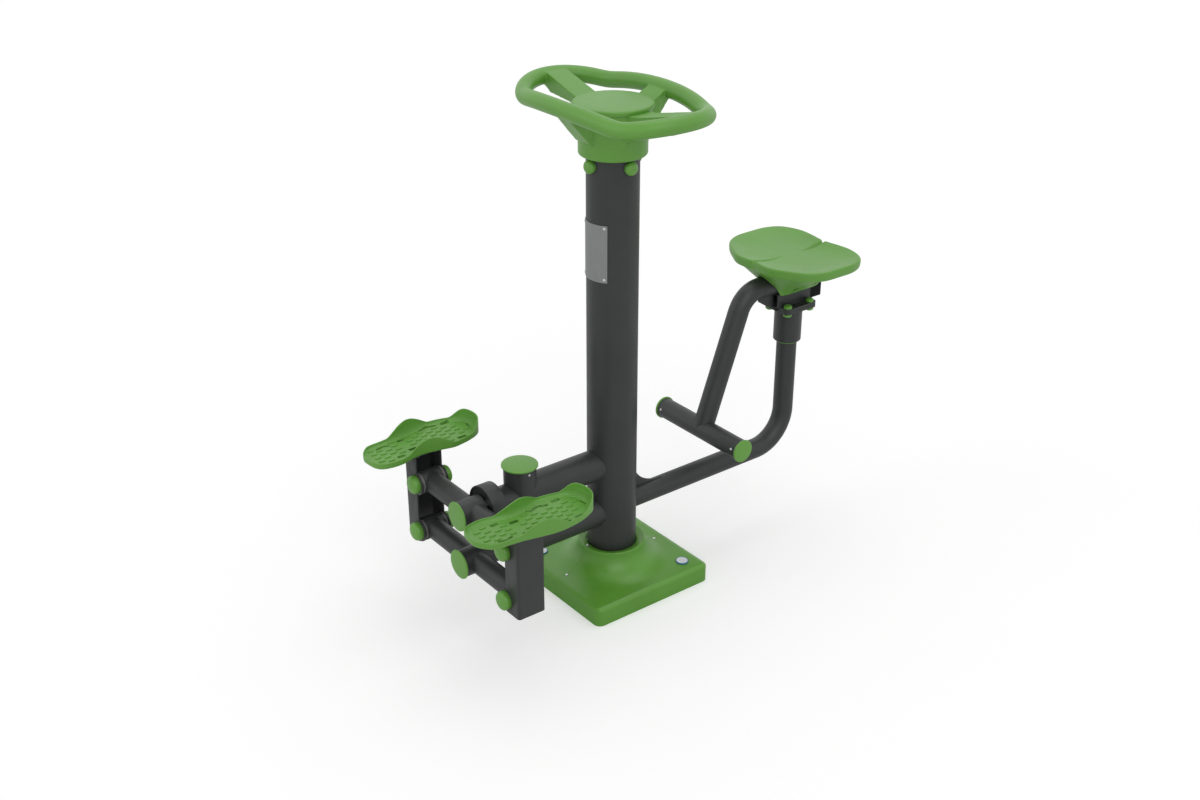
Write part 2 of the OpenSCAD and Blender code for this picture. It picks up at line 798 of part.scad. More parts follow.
module cross_cap() {
    translate([-hub_front, 0, 0]) rotate([0, -90, 0])
        dome(hub_cap_d / 2, hub_cap_t, hub_cap_t * 0.6);
    bar_x(hub_bore_r - close_fit, -hub_front, -hub_front + hub_plug);
}

module at_link(z) {
    translate([-link_x, 0, z]) children();
}

module upper_crossbar() {
    color(steel) at_link(beam_high_z) cross_tubes();
}

module upper_hub() {
    color(steel) at_link(beam_high_z) cross_hub();
}

module upper_sleeves() {
    color(steel) at_link(beam_high_z) cross_sleeves();
}

module upper_bushes() {
    color(pale) at_link(beam_high_z) cross_bushes();
}

module upper_hub_cap() {
    color(green) at_link(beam_high_z) cross_cap();
}

module lower_crossbar() {
    color(steel) at_link(beam_low_z) cross_tubes();
}

module lower_hub() {
    color(steel) at_link(beam_low_z) cross_hub();
}

module lower_sleeves() {
    color(steel) at_link(beam_low_z) cross_sleeves();
}

module lower_bushes() {
    color(pale) at_link(beam_low_z) cross_bushes();
}

module lower_hub_cap() {
    color(green) at_link(beam_low_z) cross_cap();
}

// Pedals: drawn for the left foot, mirrored for the right

// Outline of a tray: [share of the length from the heel, share of the half width to the outside]
tray_shares = [[0, -0.04], [0.009, -0.48], [0.034, -0.73], [0.077, -0.86], [0.134, -0.92],
    [0.19, -0.935], [0.237, -0.91], [0.309, -0.82], [0.394, -0.745], [0.474, -0.755],
    [0.577, -0.85], [0.677, -0.955], [0.757, -0.92], [0.829, -0.85], [0.9, -0.74],
    [0.955, -0.57], [0.989, -0.3], [1, 0], [0.988, 0.33], [0.949, 0.6], [0.877, 0.78],
    [0.8, 0.9], [0.729, 0.96], [0.64, 1], [0.566, 0.985], [0.494, 0.935], [0.414, 0.857],
    [0.326, 0.766], [0.214, 0.7], [0.134, 0.675], [0.086, 0.6], [0.034, 0.36], [0.008, 0.14]];
tray_outer = curve([for (p = tray_shares) [p[0] * tray_l, p[1] * tray_w / 2]], 3);
tray_inner = inset(tray_outer, tray_wall);

// Drain holes: [length share, width share, length share of the hole, turn]
drain_shares = [[0.257, -0.52, 0.06, 0], [0.391, -0.29, 0.07, 20], [0.38, 0.5, 0.05, 0],
    [0.8, -0.58, 0.075, 10], [0.814, 0.7, 0.075, -10], [0.945, 0.07, 0.07, 80]];
// Angled slots: [length share, width share, length share of a leg, side of the apex]
slot_shares = [[0.214, 0.49, 0.06, 1], [0.643, -0.62, 0.08, -1], [0.654, 0.83, 0.08, 1]];

// Wall height above the underside at length share t; ear is the ear's own height
function wall_h(t, ear, peak, rise, fall) = tray_rim_h
    + (ear - tray_rim_h) * pow(t < peak ? smooth((t - peak + rise) / rise)
        : smooth((peak + fall - t) / fall), 0.6)
    + (toe_h - tray_rim_h) * smooth((t - 0.855) / 0.13);

module wall_side(ear, peak, rise, fall) {
    steps = 40;
    polygon(concat([[tray_l + cut, -cut], [-cut, -cut]],
        [for (k = [0 : steps]) [(k == 0 ? -cut : k == steps ? tray_l + cut : k / steps * tray_l),
            wall_h(k / steps, ear, peak, rise, fall)]]));
}

module tray_walls() {
    top = max(outer_ear_h, inner_ear_h, toe_h) + cut;
    intersection() {
        linear_extrude(top) difference() {
            polygon(tray_outer);
            polygon(tray_inner);
        }
        union() {
            translate([0, tray_w, 0]) rotate([90, 0, 0])
                linear_extrude(tray_w) wall_side(outer_ear_h, 0.49, 0.2, 0.2);
            rotate([90, 0, 0])
                linear_extrude(tray_w) wall_side(inner_ear_h, 0.5, 0.21, 0.19);
        }
    }
}

module drain_cuts() {
    half_w = grip_w * 0.9;
    for (d = drain_shares) translate([d[0] * tray_l, d[1] * tray_w / 2, -cut]) rotate(d[3])
        translate([-d[2] * tray_l / 2, -half_w, 0])
            cube([d[2] * tray_l, 2 * half_w, tray_floor + 2 * cut]);
    for (d = slot_shares, m = [0, 1])
        translate([d[0] * tray_l, d[1] * tray_w / 2, -cut]) mirror([m, 0, 0]) rotate(-25 * d[3])
            translate([0, -half_w, 0]) cube([d[2] * tray_l, 2 * half_w, tray_floor + 2 * cut]);
}

// True where a grip bar centred at share t of the length and s of the half width fits
function grip_here(t, s) = (t > 0.05 && t < 0.36 && abs(s) < 0.62)
    || (t > 0.42 && t < 0.56 && s > -0.5 && s < 0.62)
    || (t > 0.56 && t < 0.93 && abs(s) < 0.62 && t + abs(s) * 0.2 < 0.98);

function near_drain(t, s) = len([for (d = concat(drain_shares, slot_shares))
    if (norm([(t - d[0]) * tray_l, (s - d[1]) * tray_w / 2]) < grip_l * 1.5) 1]) > 0;

module grip_bars() {
    step_x = grip_l * 1.45;
    for (i = [0 : floor(tray_l / step_x)], j = [-6 : 6]) {
        x = (i + 0.5) * step_x;
        y = (j + (i % 2) / 2) * grip_pitch * 2;
        if (grip_here(x / tray_l, 2 * y / tray_w) && !near_drain(x / tray_l, 2 * y / tray_w))
            translate([x - grip_l / 2, y - grip_w / 2, tray_floor - grip_h])
                cube([grip_l, grip_w, 2 * grip_h]);
    }
}

module tray() {
    color(green) translate([-tray_heel_x, tray_y, tray_z]) difference() {
        union() {
            linear_extrude(tray_floor) polygon(tray_outer);
            tray_walls();
            grip_bars();
        }
        drain_cuts();
        tray_screw_spots() translate([0, 0, -cut])
            cylinder(d = tray_screw_d, h = tray_floor * 0.75 + cut);
    }
}

// Places of the tray screws, in the tray's own frame
module tray_screw_spots() {
    for (x = [-1, 1], y = [-1, 1])
        translate([tray_heel_x - link_x + x * channel_w * 0.33, y * seat_plate_l * 0.38, 0])
            children();
}

module tray_screws() {
    head_h = tray_screw_d * 0.6;
    color(zinc) translate([-tray_heel_x, tray_y, tray_z]) tray_screw_spots() {
        translate([0, 0, -channel_t - head_h]) hex(tray_screw_d * 1.7, head_h);
        translate([0, 0, -channel_t - head_h / 2])
            cylinder(d = tray_screw_d, h = channel_t + head_h / 2 + tray_floor * 0.7);
    }
}

// U section of the channel, open towards the middle plane
module channel_section() {
    half = channel_w / 2;
    difference() {
        union() {
            round_rect(-half, half, pivot_y, channel_y, channel_r);
            translate([-half, pivot_y]) square([channel_w, channel_r]);
        }
        translate([-half + channel_t, pivot_y - cut])
            square([channel_w - 2 * channel_t, channel_y - pivot_y - channel_t + cut]);
    }
}

module channel() {
    half = channel_w / 2;
    top = tray_z - channel_t;
    color(steel) translate([-link_x, 0, 0]) difference() {
        union() {
            translate([0, 0, channel_low_z]) linear_extrude(top - channel_low_z) channel_section();
            for (z = [beam_low_z, beam_high_z], m = [0, 1]) translate([0, pivot_y, z])
                mirror([m, 0, 0]) bar_x(lug_r, half - channel_t, half);
            translate([-half, tray_y - seat_plate_l / 2, top])
                cube([channel_w, seat_plate_l, channel_t]);
        }
        for (z = [beam_low_z, beam_high_z]) translate([0, pivot_y, z])
            bar_x(pivot_d / 2, -channel_w, channel_w);
        translate([link_x - tray_heel_x, tray_y, top - cut]) tray_screw_spots()
            cylinder(d = tray_screw_d + loose, h = channel_t + 2 * cut);
    }
}

pivot_head_w = pivot_d * 1.6;
pivot_head_h = pivot_d * 0.5;

module pivot_bolts() {
    half = channel_w / 2;
    color(zinc) for (z = [beam_low_z, beam_high_z]) translate([-link_x, pivot_y, z]) {
        bar_x(pivot_d / 2, -half - pivot_head_h / 2, half + pivot_head_h);
        translate([-half - pivot_head_h, 0, 0]) rotate([0, 90, 0])
            hex(pivot_head_w, pivot_head_h);
    }
}

module pivot_nuts() {
    color(zinc) for (z = [beam_low_z, beam_high_z])
        translate([channel_w / 2 - link_x, pivot_y, z]) rotate([0, 90, 0]) difference() {
            hex(pivot_head_w, pivot_head_h);
            translate([0, 0, -cut]) cylinder(d = pivot_d, h = pivot_head_h + 2 * cut);
        }
}

module pivot_caps() {
    color(green) for (z = [beam_low_z, beam_high_z], m = [0, 1])
        translate([-link_x, pivot_y, z]) mirror([m, 0, 0])
            translate([channel_w / 2, 0, 0]) rotate([0, 90, 0])
                hollow_dome(pivot_cap_d / 2, pivot_cap_h, pivot_cap_h * 0.72,
                    pivot_head_w / 2 + loose, pivot_head_h + loose);
}

module right_side() {
    mirror([0, 1, 0]) children();
}

module left_tray() {
    tray();
}

module left_channel() {
    channel();
}

module left_pivot_bolts() {
    pivot_bolts();
}

module left_pivot_nuts() {
    pivot_nuts();
}

module left_pivot_caps() {
    pivot_caps();
}

module left_tray_screws() {
    tray_screws();
}

module right_tray() {
    right_side() tray();
}

module right_channel() {
    right_side() channel();
}

module right_pivot_bolts() {
    right_side() pivot_bolts();
}

module right_pivot_nuts() {
    right_side() pivot_nuts();
}

module right_pivot_caps() {
    right_side() pivot_caps();
}

module right_tray_screws() {
    right_side() tray_screws();
}

// Seat support

riser_top_z = swivel_low_z - ring_t;

// The seat beam's run, bend and riser with radius r; over lengthens both ends
module beam_path(r, over) {
    translate([0, 0, seat_beam_z]) bar_x(r, 0, swivel_x - beam_bend_r);
    translate([swivel_x - beam_bend_r, 0, seat_beam_z + beam_bend_r]) rotate([90, 0, 0])
        rotate(-90) rotate_extrude(angle = 90, $fn = 96)
            translate([beam_bend_r, 0]) circle(r);
    translate([swivel_x, 0, seat_beam_z + beam_bend_r])
        cylinder(r = r, h = riser_top_z - seat_beam_z - beam_bend_r + over);
}

module seat_beam() {
    color(steel) difference() {
        beam_path(tube_r, 0);
        beam_path(tube_r - tube_wall, cut);
        translate([0, 0, seat_beam_z - tube_d]) cylinder(r = post_r, h = 2 * tube_d, $fn = 96);
    }
}

module beam_gusset() {
    foot = seat_beam_z + tube_r;
    lip = gusset_t / 4;
    curve_r = ((gusset_l - lip) * (gusset_l - lip) + (gusset_h - lip) * (gusset_h - lip))
        / (2 * (gusset_l - lip));
    color(steel) difference() {
        translate([0, gusset_t / 2, 0]) rotate([90, 0, 0]) linear_extrude(gusset_t) difference() {
            polygon([[0, seat_beam_z], [post_r + gusset_l, seat_beam_z],
                [post_r + gusset_l, foot + lip], [post_r + lip, foot + gusset_h],
                [0, foot + gusset_h]]);
            translate([post_r + lip + curve_r, foot + gusset_h]) circle(curve_r, $fn = 96);
        }
        cylinder(r = post_r, h = rim_z, $fn = 96);
        translate([0, 0, seat_beam_z]) bar_x(tube_r, 0, swivel_x);
    }
}

spindle_top_z = swivel_top_z - 2 * turn_gap;

module spindle() {
    plug_l = spindle_d * 1.2;
    color(zinc) translate([swivel_x, 0, 0]) {
        translate([0, 0, riser_top_z - plug_l]) cylinder(r = tube_r - tube_wall, h = plug_l);
        translate([0, 0, riser_top_z - cut]) cylinder(d = spindle_d, h = spindle_top_z - riser_top_z + cut);
    }
}

module thrust_ring() {
    color(green) translate([swivel_x, 0, riser_top_z]) difference() {
        cylinder(r = tube_r + ring_t / 2, h = ring_t - turn_gap);
        translate([0, 0, -cut]) cylinder(d = spindle_d, h = ring_t + 2 * cut);
    }
}

flange_x = [-bolt_front_x, bolt_back_x];
flange_y = flange_half_w - bolt_cap_d / 2 - loose;

module flange_plate(z) {
    difference() {
        translate([0, 0, z]) linear_extrude(flange_t)
            round_rect(-flange_front, flange_back, -flange_half_w, flange_half_w, bolt_cap_d / 2);
        for (x = flange_x, y = [-flange_y, flange_y]) translate([x, y, z - cut])
            cylinder(d = flange_bolt_d + loose, h = flange_t + 2 * cut);
    }
}

module swivel_sleeve() {
    chamfer = swivel_wall * 0.4;
    color(steel) translate([swivel_x, 0, 0]) {
        rotate_extrude() translate([swivel_d / 2 - swivel_wall, swivel_low_z])
            polygon([[0, 0], [swivel_wall - chamfer, 0], [swivel_wall, chamfer],
                [swivel_wall, swivel_l], [0, swivel_l]]);
        flange_plate(swivel_top_z);
    }
}

module swivel_bushes() {
    l = swivel_d * 0.3;
    r = swivel_d / 2 - swivel_wall;
    color(pale) for (z = [swivel_low_z, swivel_top_z - l]) translate([swivel_x, 0, z])
        difference() {
            cylinder(r = r, h = l);
            translate([0, 0, -cut]) cylinder(r = spindle_d / 2 + run_fit, h = l + 2 * cut);
        }
}

box_low_z = swivel_top_z + 2 * flange_t;
arm_z = box_low_z + box_h + tube_r;

module seat_bracket() {
    color(steel) translate([swivel_x, 0, 0]) {
        flange_plate(swivel_top_z + flange_t);
        difference() {
            translate([-box_front, -box_w / 2, box_low_z]) cube([box_front + box_back, box_w, box_h]);
            translate([-box_front - cut, box_wall - box_w / 2, box_low_z + box_wall])
                cube([box_front + box_back + 2 * cut, box_w - 2 * box_wall, box_h - 2 * box_wall]);
        }
    }
}

flange_head_h = flange_bolt_d * 0.5;
flange_head_w = flange_bolt_d * 1.65;

module flange_bolts() {
    color(zinc) for (x = flange_x, y = [-flange_y, flange_y]) translate([swivel_x + x, y, 0]) {
        translate([0, 0, swivel_top_z - flange_head_h / 2])
            cylinder(d = flange_bolt_d, h = 2 * flange_t + flange_head_h);
        translate([0, 0, box_low_z]) hex(flange_head_w, flange_head_h);
        translate([0, 0, swivel_top_z - flange_head_h]) hex(flange_head_w, flange_head_h);
    }
}

module flange_bolt_caps() {
    pocket_r = flange_head_w / 2 + loose / 2;
    color(green) for (x = flange_x, y = [-flange_y, flange_y]) translate([swivel_x + x, y, 0]) {
        translate([0, 0, box_low_z])
            hollow_dome(bolt_cap_d / 2, bolt_cap_h, bolt_cap_h * 0.45, pocket_r,
                flange_head_h + loose);
        translate([0, 0, swivel_top_z]) mirror([0, 0, 1])
            hollow_dome(bolt_cap_d / 2, bolt_cap_h, bolt_cap_h * 0.45, pocket_r,
                flange_head_h + loose);
    }
}

// Footrest

arm_corner_x = rest_x + (arm_z - rest_z) * tan(arm_a);
arm_tangent = arm_r * tan(45 - arm_a / 2);
arm_end_x = swivel_x + boss_back * 0.8;

// Amount by which a tube draws in at its bend, on the radius
bend_draw = 0.3;

// The arm's slope, bend and level run with radius r; over lengthens its level end
module arm_path(r, over) {
    leg = (arm_z - rest_z) / cos(arm_a) - arm_tangent;
    translate([rest_x, 0, rest_z]) rotate([0, arm_a, 0])
        cylinder(r = r, h = leg + 2 * bend_draw);
    translate([arm_corner_x + arm_tangent, 0, arm_z - arm_r]) rotate([90, 0, 0])
        rotate(90) rotate_extrude(angle = 90 - arm_a, $fn = 96)
            translate([arm_r, 0]) circle(r - bend_draw);
    translate([0, 0, arm_z]) bar_x(r, arm_corner_x + arm_tangent, arm_end_x + over);
}

rest_half = rest_l / 2 - rest_cap_t;

module footrest_arm() {
    color(steel) difference() {
        arm_path(tube_r, 0);
        arm_path(tube_r - tube_wall, cut);
        translate([rest_x, 0, rest_z]) bar_y(tube_r + close_fit, -rest_half, rest_half);
        seat_screw_holes(seat_screw_d / 2);
    }
}

rest_screw_d = tube_d / 8;
rest_screw_y = rest_half - tube_d / 4;

module footrest_bar() {
    color(steel) translate([rest_x, 0, rest_z]) difference() {
        bar_y(tube_r, -rest_half, rest_half);
        bar_y(tube_r - tube_wall, -rest_half - cut, rest_half + cut);
        for (s = [-1, 1]) translate([0, s * rest_screw_y, 0]) rotate([0, -165, 0])
            bar_x(rest_screw_d / 4 + close_fit, tube_r - 2 * tube_wall, tube_r + cut);
    }
}

module footrest_caps() {
    plug_l = tube_d * 0.4;
    plug_r = tube_r - tube_wall - close_fit;
    color(green) translate([rest_x, 0, rest_z]) for (m = [0, 1]) mirror([0, m, 0]) difference() {
        union() {
            translate([0, rest_half, 0]) rotate([-90, 0, 0])
                dome(tube_r + rest_cap_lip, rest_cap_t, rest_cap_t * 0.6);
            bar_y(plug_r, rest_half - plug_l, rest_half);
        }
        bar_y(plug_r - tube_wall, rest_half - plug_l - cut, rest_half);
        translate([0, rest_screw_y, 0]) rotate([0, -165, 0])
            bar_x(rest_screw_d / 4, plug_r - 2 * tube_wall, tube_r);
    }
}

module footrest_screws() {
    color(zinc) translate([rest_x, 0, rest_z]) for (s = [-1, 1])
        translate([0, s * rest_screw_y, 0]) rotate([0, -165, 0]) translate([tube_r, 0, 0])
            rotate([0, 90, 0])
                pan_screw(rest_screw_d, rest_screw_d * 0.4, rest_screw_d / 2, 1.8 * tube_wall);
}

module arm_gusset() {
    front = swivel_x - flange_front;
    tip_x = arm_corner_x + arm_tangent * 1.05;
    color(steel) difference() {
        translate([0, gusset_t / 2, 0]) rotate([90, 0, 0]) linear_extrude(gusset_t)
            polygon([[tip_x, arm_z - tube_d * 0.74], [front, swivel_top_z],
                [front, box_low_z], [swivel_x - box_front, box_low_z],
                [swivel_x - box_front, arm_z - tube_r], [tip_x, arm_z - tube_r / 2]]);
        arm_path(tube_r, 0);
    }
}

// Seat

// Half outline of the seat: [share of the length ahead of the swivel axis, share of the half width]
seat_shares = [[-0.515, 0], [-0.53, 0.16], [-0.525, 0.36], [-0.463, 0.56], [-0.339, 0.84],
    [-0.17, 0.98], [0.035, 1], [0.212, 0.99], [0.357, 0.9], [0.431, 0.742], [0.47, 0.52],
    [0.463, 0.296], [0.438, 0]];
seat_full = concat([for (p = seat_shares) [p[0] * seat_l, -p[1] * seat_w / 2]],
    [for (i = [len(seat_shares) - 2 : -1 : 1])
        [seat_shares[i][0] * seat_l, seat_shares[i][1] * seat_w / 2]]);
seat_outline = curve(seat_full, 3);

boss_mid = (boss_back - boss_front) / 2;
boss_half_l = (boss_back + boss_front) / 2;
boss_low_z = box_low_z + box_h + boss_gap;

// Rounded boss outline, one point for each point of the seat's outline
boss_outline = [for (p = seat_outline)
    let (a = atan2(p[1] / (seat_w / 2), (p[0] - boss_mid) / (seat_l / 2)),
        k = pow(pow(abs(cos(a)), 5) + pow(abs(sin(a)), 5), -1 / 5))
    [boss_mid + boss_half_l * k * cos(a), boss_half_w * k * sin(a)]];

seat_fall = seat_z - seat_edge - boss_low_z;
// Rings from the dish's middle, over the rim, to the boss:
// [share of the outline, share of the boss, height]
seat_rings = [[0.2, 0, seat_z - seat_dish], [0.5, 0, seat_z - seat_dish * 0.94],
    [0.75, 0, seat_z - seat_dish * 0.62], [0.91, 0, seat_z - seat_dish * 0.12],
    [0.965, 0, seat_z], [0.995, 0, seat_z - seat_dish * 0.2], [1, 0, seat_z - seat_edge * 0.3],
    [0.99, 0, seat_z - seat_edge * 0.85], [0.965, 0, seat_z - seat_edge],
    [0.8, 0.04, seat_z - seat_edge - seat_fall * 0.05],
    [0.6, 0.14, seat_z - seat_edge - seat_fall * 0.15],
    [0.4, 0.38, seat_z - seat_edge - seat_fall * 0.29],
    [0.2, 0.72, seat_z - seat_edge - seat_fall * 0.47],
    [0.07, 0.93, seat_z - seat_edge - seat_fall * 0.7], [0, 1, boss_low_z]];

module seat_body() {
    n = len(seat_outline);
    m = len(seat_rings);
    points = concat([for (g = seat_rings, i = [0 : n - 1])
        let (p = g[0] * (seat_outline[i] - [boss_mid, 0]) + [boss_mid, 0]
            + g[1] * (boss_outline[i] - [boss_mid, 0]) * (g[0] > 0 ? 1 - g[0] : 1))
        [p[0], p[1], g[2]]], [[boss_mid, 0, seat_z - seat_dish], [boss_mid, 0, boss_low_z]]);
    faces = concat(
        [for (i = [0 : n - 1]) [n * m, (i + 1) % n, i]],
        [for (k = [0 : m - 2], i = [0 : n - 1]) [k * n + i, k * n + (i + 1) % n, (k + 1) * n + i]],
        [for (k = [0 : m - 2], i = [0 : n - 1])
            [k * n + (i + 1) % n, (k + 1) * n + (i + 1) % n, (k + 1) * n + i]],
        [for (i = [0 : n - 1]) [n * m + 1, (m - 1) * n + i, (m - 1) * n + (i + 1) % n]]);
    translate([swivel_x, 0, 0]) polyhedron(points, faces);
}

seat_screw_d = flange_bolt_d * 0.5;
seat_screw_x = [-boss_front * 0.42, boss_back * 0.56];
seat_screw_z = arm_z - tube_r * 0.3;

module seat_screw_holes(r) {
    for (x = seat_screw_x) translate([swivel_x + x, 0, seat_screw_z])
        bar_y(r, -boss_half_w * 2, boss_half_w * 2);
}

module seat_shell() {
    color(green) difference() {
        seat_body();
        translate([0, 0, arm_z]) bar_x(tube_r + close_fit, arm_corner_x, arm_end_x + loose);
        translate([swivel_x - 2 * boss_front, -tube_r * 0.9, boss_low_z - cut])
            cube([2 * boss_front + boss_back * 0.8, tube_d * 0.9, arm_z - tube_r * 0.5 - boss_low_z]);
        seat_screw_holes(seat_screw_d / 2 + close_fit);
        for (x = seat_screw_x, m = [0, 1]) mirror([0, m, 0])
            translate([swivel_x + x, 0, seat_screw_z])
                bar_y(seat_screw_d + loose, boss_half_w, 2 * boss_half_w);
    }
}

module seat_screws() {
    head_d = seat_screw_d * 2;
    l = boss_half_w - sqrt(tube_r * tube_r - pow(arm_z - seat_screw_z, 2)) + tube_wall;
    color(zinc) for (x = seat_screw_x, m = [0, 1]) mirror([0, m, 0])
        translate([swivel_x + x, boss_half_w, seat_screw_z]) rotate([-90, 0, 0])
            pan_screw(head_d, head_d * 0.35, seat_screw_d, l);
}

base_plate();
cover_left();
cover_right();
cover_screws();
cover_discs();
main_post();
info_plate();
plate_rivets();
handwheel();
wheel_stem();
wheel_bolts();
wheel_bolt_caps();
beam_gusset();
seat_beam();
spindle();
thrust_ring();
upper_beam();
lower_beam();
end_post();
end_post_cap();
end_cap_screw();
bearing_drum();
lower_neck();
link_axles();
axle_nuts();
swivel_sleeve();
swivel_bushes();
seat_bracket();
flange_bolts();
flange_bolt_caps();
arm_gusset();
footrest_arm();
footrest_bar();
footrest_caps();
footrest_screws();
seat_shell();
seat_screws();
upper_crossbar();
upper_hub();
upper_sleeves();
upper_bushes();
upper_hub_cap();
lower_crossbar();
lower_hub();
lower_sleeves();
lower_bushes();
lower_hub_cap();
left_tray();
left_channel();
left_pivot_bolts();
left_pivot_nuts();
left_pivot_caps();
left_tray_screws();
right_tray();
right_channel();
right_pivot_bolts();
right_pivot_nuts();
right_pivot_caps();
right_tray_screws();
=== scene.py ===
"""Outdoor exercise station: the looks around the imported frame.

A post with a fixed handwheel, two linked stepping pedals and a swivelling seat.
Lengths are in millimetres in the tables below and are turned into metres by MM.
"""

import json
import math

import bmesh
import bpy
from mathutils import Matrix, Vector


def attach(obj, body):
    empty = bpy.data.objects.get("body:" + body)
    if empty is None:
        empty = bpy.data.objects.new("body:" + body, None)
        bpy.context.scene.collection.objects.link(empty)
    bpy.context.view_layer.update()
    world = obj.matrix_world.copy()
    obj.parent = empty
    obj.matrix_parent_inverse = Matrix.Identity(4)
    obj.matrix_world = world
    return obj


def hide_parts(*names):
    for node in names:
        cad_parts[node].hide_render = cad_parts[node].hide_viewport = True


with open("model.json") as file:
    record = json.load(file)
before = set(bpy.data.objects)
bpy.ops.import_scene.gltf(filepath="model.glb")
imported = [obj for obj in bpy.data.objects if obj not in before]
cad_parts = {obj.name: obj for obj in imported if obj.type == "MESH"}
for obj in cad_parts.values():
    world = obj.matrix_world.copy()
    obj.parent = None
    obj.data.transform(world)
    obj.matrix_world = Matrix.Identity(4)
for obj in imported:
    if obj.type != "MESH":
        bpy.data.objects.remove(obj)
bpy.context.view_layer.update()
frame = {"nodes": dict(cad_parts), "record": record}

MM = 0.001
TAU = 2 * math.pi
nodes = frame["nodes"]


# Camera, lights and floor

PHOTO_W, FOCAL_PX = 1200, 1514
SENSOR_MM = 36.0
CAMERA_PLACE = (-2.2912, -2.9254, 2.4338)
CAMERA_TILT, CAMERA_TURN = 63.26, -37.56

LAMPS = (
    # name, where its light comes from, spread in degrees, strength
    ("top", (1.2, 0.4, 4.0), 50, 0.5),
    ("key", (-1.5, -4.5, 3.4), 40, 0.48),
    ("fill", (-4.5, 1.5, 2.5), 40, 0.28))
WORLD_LIGHT = 0.57
BACKGROUND = 0.985
FLOOR_ALBEDO = 0.8
FLOOR_GLOW = 0.33
FLOOR_SIZE = 60


def make_camera():
    """The photograph's own view."""
    data = bpy.data.cameras.new("camera")
    data.sensor_width = SENSOR_MM
    data.lens = SENSOR_MM * FOCAL_PX / PHOTO_W
    camera = bpy.data.objects.new("camera", data)
    camera.location = CAMERA_PLACE
    camera.rotation_euler = (math.radians(CAMERA_TILT), 0, math.radians(CAMERA_TURN))
    bpy.context.scene.collection.objects.link(camera)
    bpy.context.scene.camera = camera


def soft_lamp(name, place, spread, strength):
    """Even light from the direction of place, spread over an angle in degrees."""
    data = bpy.data.lights.new(name, "SUN")
    data.angle = math.radians(spread)
    data.energy = strength
    lamp = bpy.data.objects.new(name, data)
    lamp.location = place
    lamp.rotation_euler = (-Vector(place)).to_track_quat("-Z", "Y").to_euler()
    bpy.context.scene.collection.objects.link(lamp)


def grey(value):
    """An opaque colour with three equal channels."""
    return value, value, value, 1


def ray_of(tree, *kinds):
    """1 for rays of these kinds, 0 for the rest."""
    path = tree.nodes.new("ShaderNodeLightPath")
    total = path.outputs[kinds[0]]
    for kind in kinds[1:]:
        add = tree.nodes.new("ShaderNodeMath")
        add.operation = "MAXIMUM"
        tree.links.new(total, add.inputs[0])
        tree.links.new(path.outputs[kind], add.inputs[1])
        total = add.outputs[0]
    return total


def make_world():
    """Soft light from all round; the camera, glossy and transmission rays see plain white."""
    world = bpy.data.worlds.new("studio")
    bpy.context.scene.world = world
    world.use_nodes = True
    tree = world.node_tree
    tree.nodes.clear()
    out = tree.nodes.new("ShaderNodeOutputWorld")
    seen = tree.nodes.new("ShaderNodeBackground")
    seen.inputs["Color"].default_value = grey(BACKGROUND)
    light = tree.nodes.new("ShaderNodeBackground")
    light.inputs["Color"].default_value = grey(1)
    light.inputs["Strength"].default_value = WORLD_LIGHT
    mix = tree.nodes.new("ShaderNodeMixShader")
    tree.links.new(ray_of(tree, "Is Camera Ray", "Is Glossy Ray", "Is Transmission Ray"),
                   mix.inputs[0])
    tree.links.new(light.outputs[0], mix.inputs[1])
    tree.links.new(seen.outputs[0], mix.inputs[2])
    tree.links.new(mix.outputs[0], out.inputs["Surface"])


def make_floor():
    """A pale floor that keeps the shadow and meets the white background.

    Its glow is there for camera and transmission rays only, so it lights nothing.
    """
    bpy.ops.mesh.primitive_plane_add(size=FLOOR_SIZE)
    floor = bpy.context.object
    floor.name = "studio_floor"
    mat = bpy.data.materials.new("studio_floor")
    mat.use_nodes = True
    tree = mat.node_tree
    tree.nodes.clear()
    out = tree.nodes.new("ShaderNodeOutputMaterial")
    diffuse = tree.nodes.new("ShaderNodeBsdfDiffuse")
    diffuse.inputs["Color"].default_value = grey(FLOOR_ALBEDO)
    glow = tree.nodes.new("ShaderNodeEmission")
    strength = tree.nodes.new("ShaderNodeMath")
    strength.operation = "MULTIPLY"
    strength.inputs[1].default_value = FLOOR_GLOW
    tree.links.new(ray_of(tree, "Is Camera Ray", "Is Transmission Ray"), strength.inputs[0])
    tree.links.new(strength.outputs[0], glow.inputs["Strength"])
    add = tree.nodes.new("ShaderNodeAddShader")
    tree.links.new(diffuse.outputs[0], add.inputs[0])
    tree.links.new(glow.outputs[0], add.inputs[1])
    tree.links.new(add.outputs[0], out.inputs["Surface"])
    floor.data.materials.append(mat)


make_camera()
make_world()
for lamp_row in LAMPS:
    soft_lamp(*lamp_row)
make_floor()
bpy.context.scene.view_settings.view_transform = "Standard"


# Materials

GREEN = (0.127, 0.345, 0.047)
COVER_GREEN = (0.110, 0.322, 0.032)
ANTHRACITE = (0.034, 0.036, 0.0365)
GALVANISED = (0.10, 0.10, 0.105)
BUSH_GREY = (0.17, 0.17, 0.165)
ZINC = (0.62, 0.63, 0.65)
BRIGHT_STEEL = (0.56, 0.57, 0.59)
ALUMINIUM = (0.30, 0.305, 0.305)
POWDER_SPECULAR = 0.42

DISC_FACE, DISC_RIM = (0.74, 0.78, 0.82), (0.035, 0.15, 0.27)
DISC_PLACE, DISC_R, DISC_H = 145, 19, 3.5
RING_FROM, RING_TO = 15.8, 16.4

# painted shade at the bracket's rear: its length, the width of the change, and how dark and
# dull it is
REAR_LENGTH, REAR_SPAN = 47, 5
REAR_SHADE_TONE, REAR_SHADE_SPECULAR = 0.3, 0.03


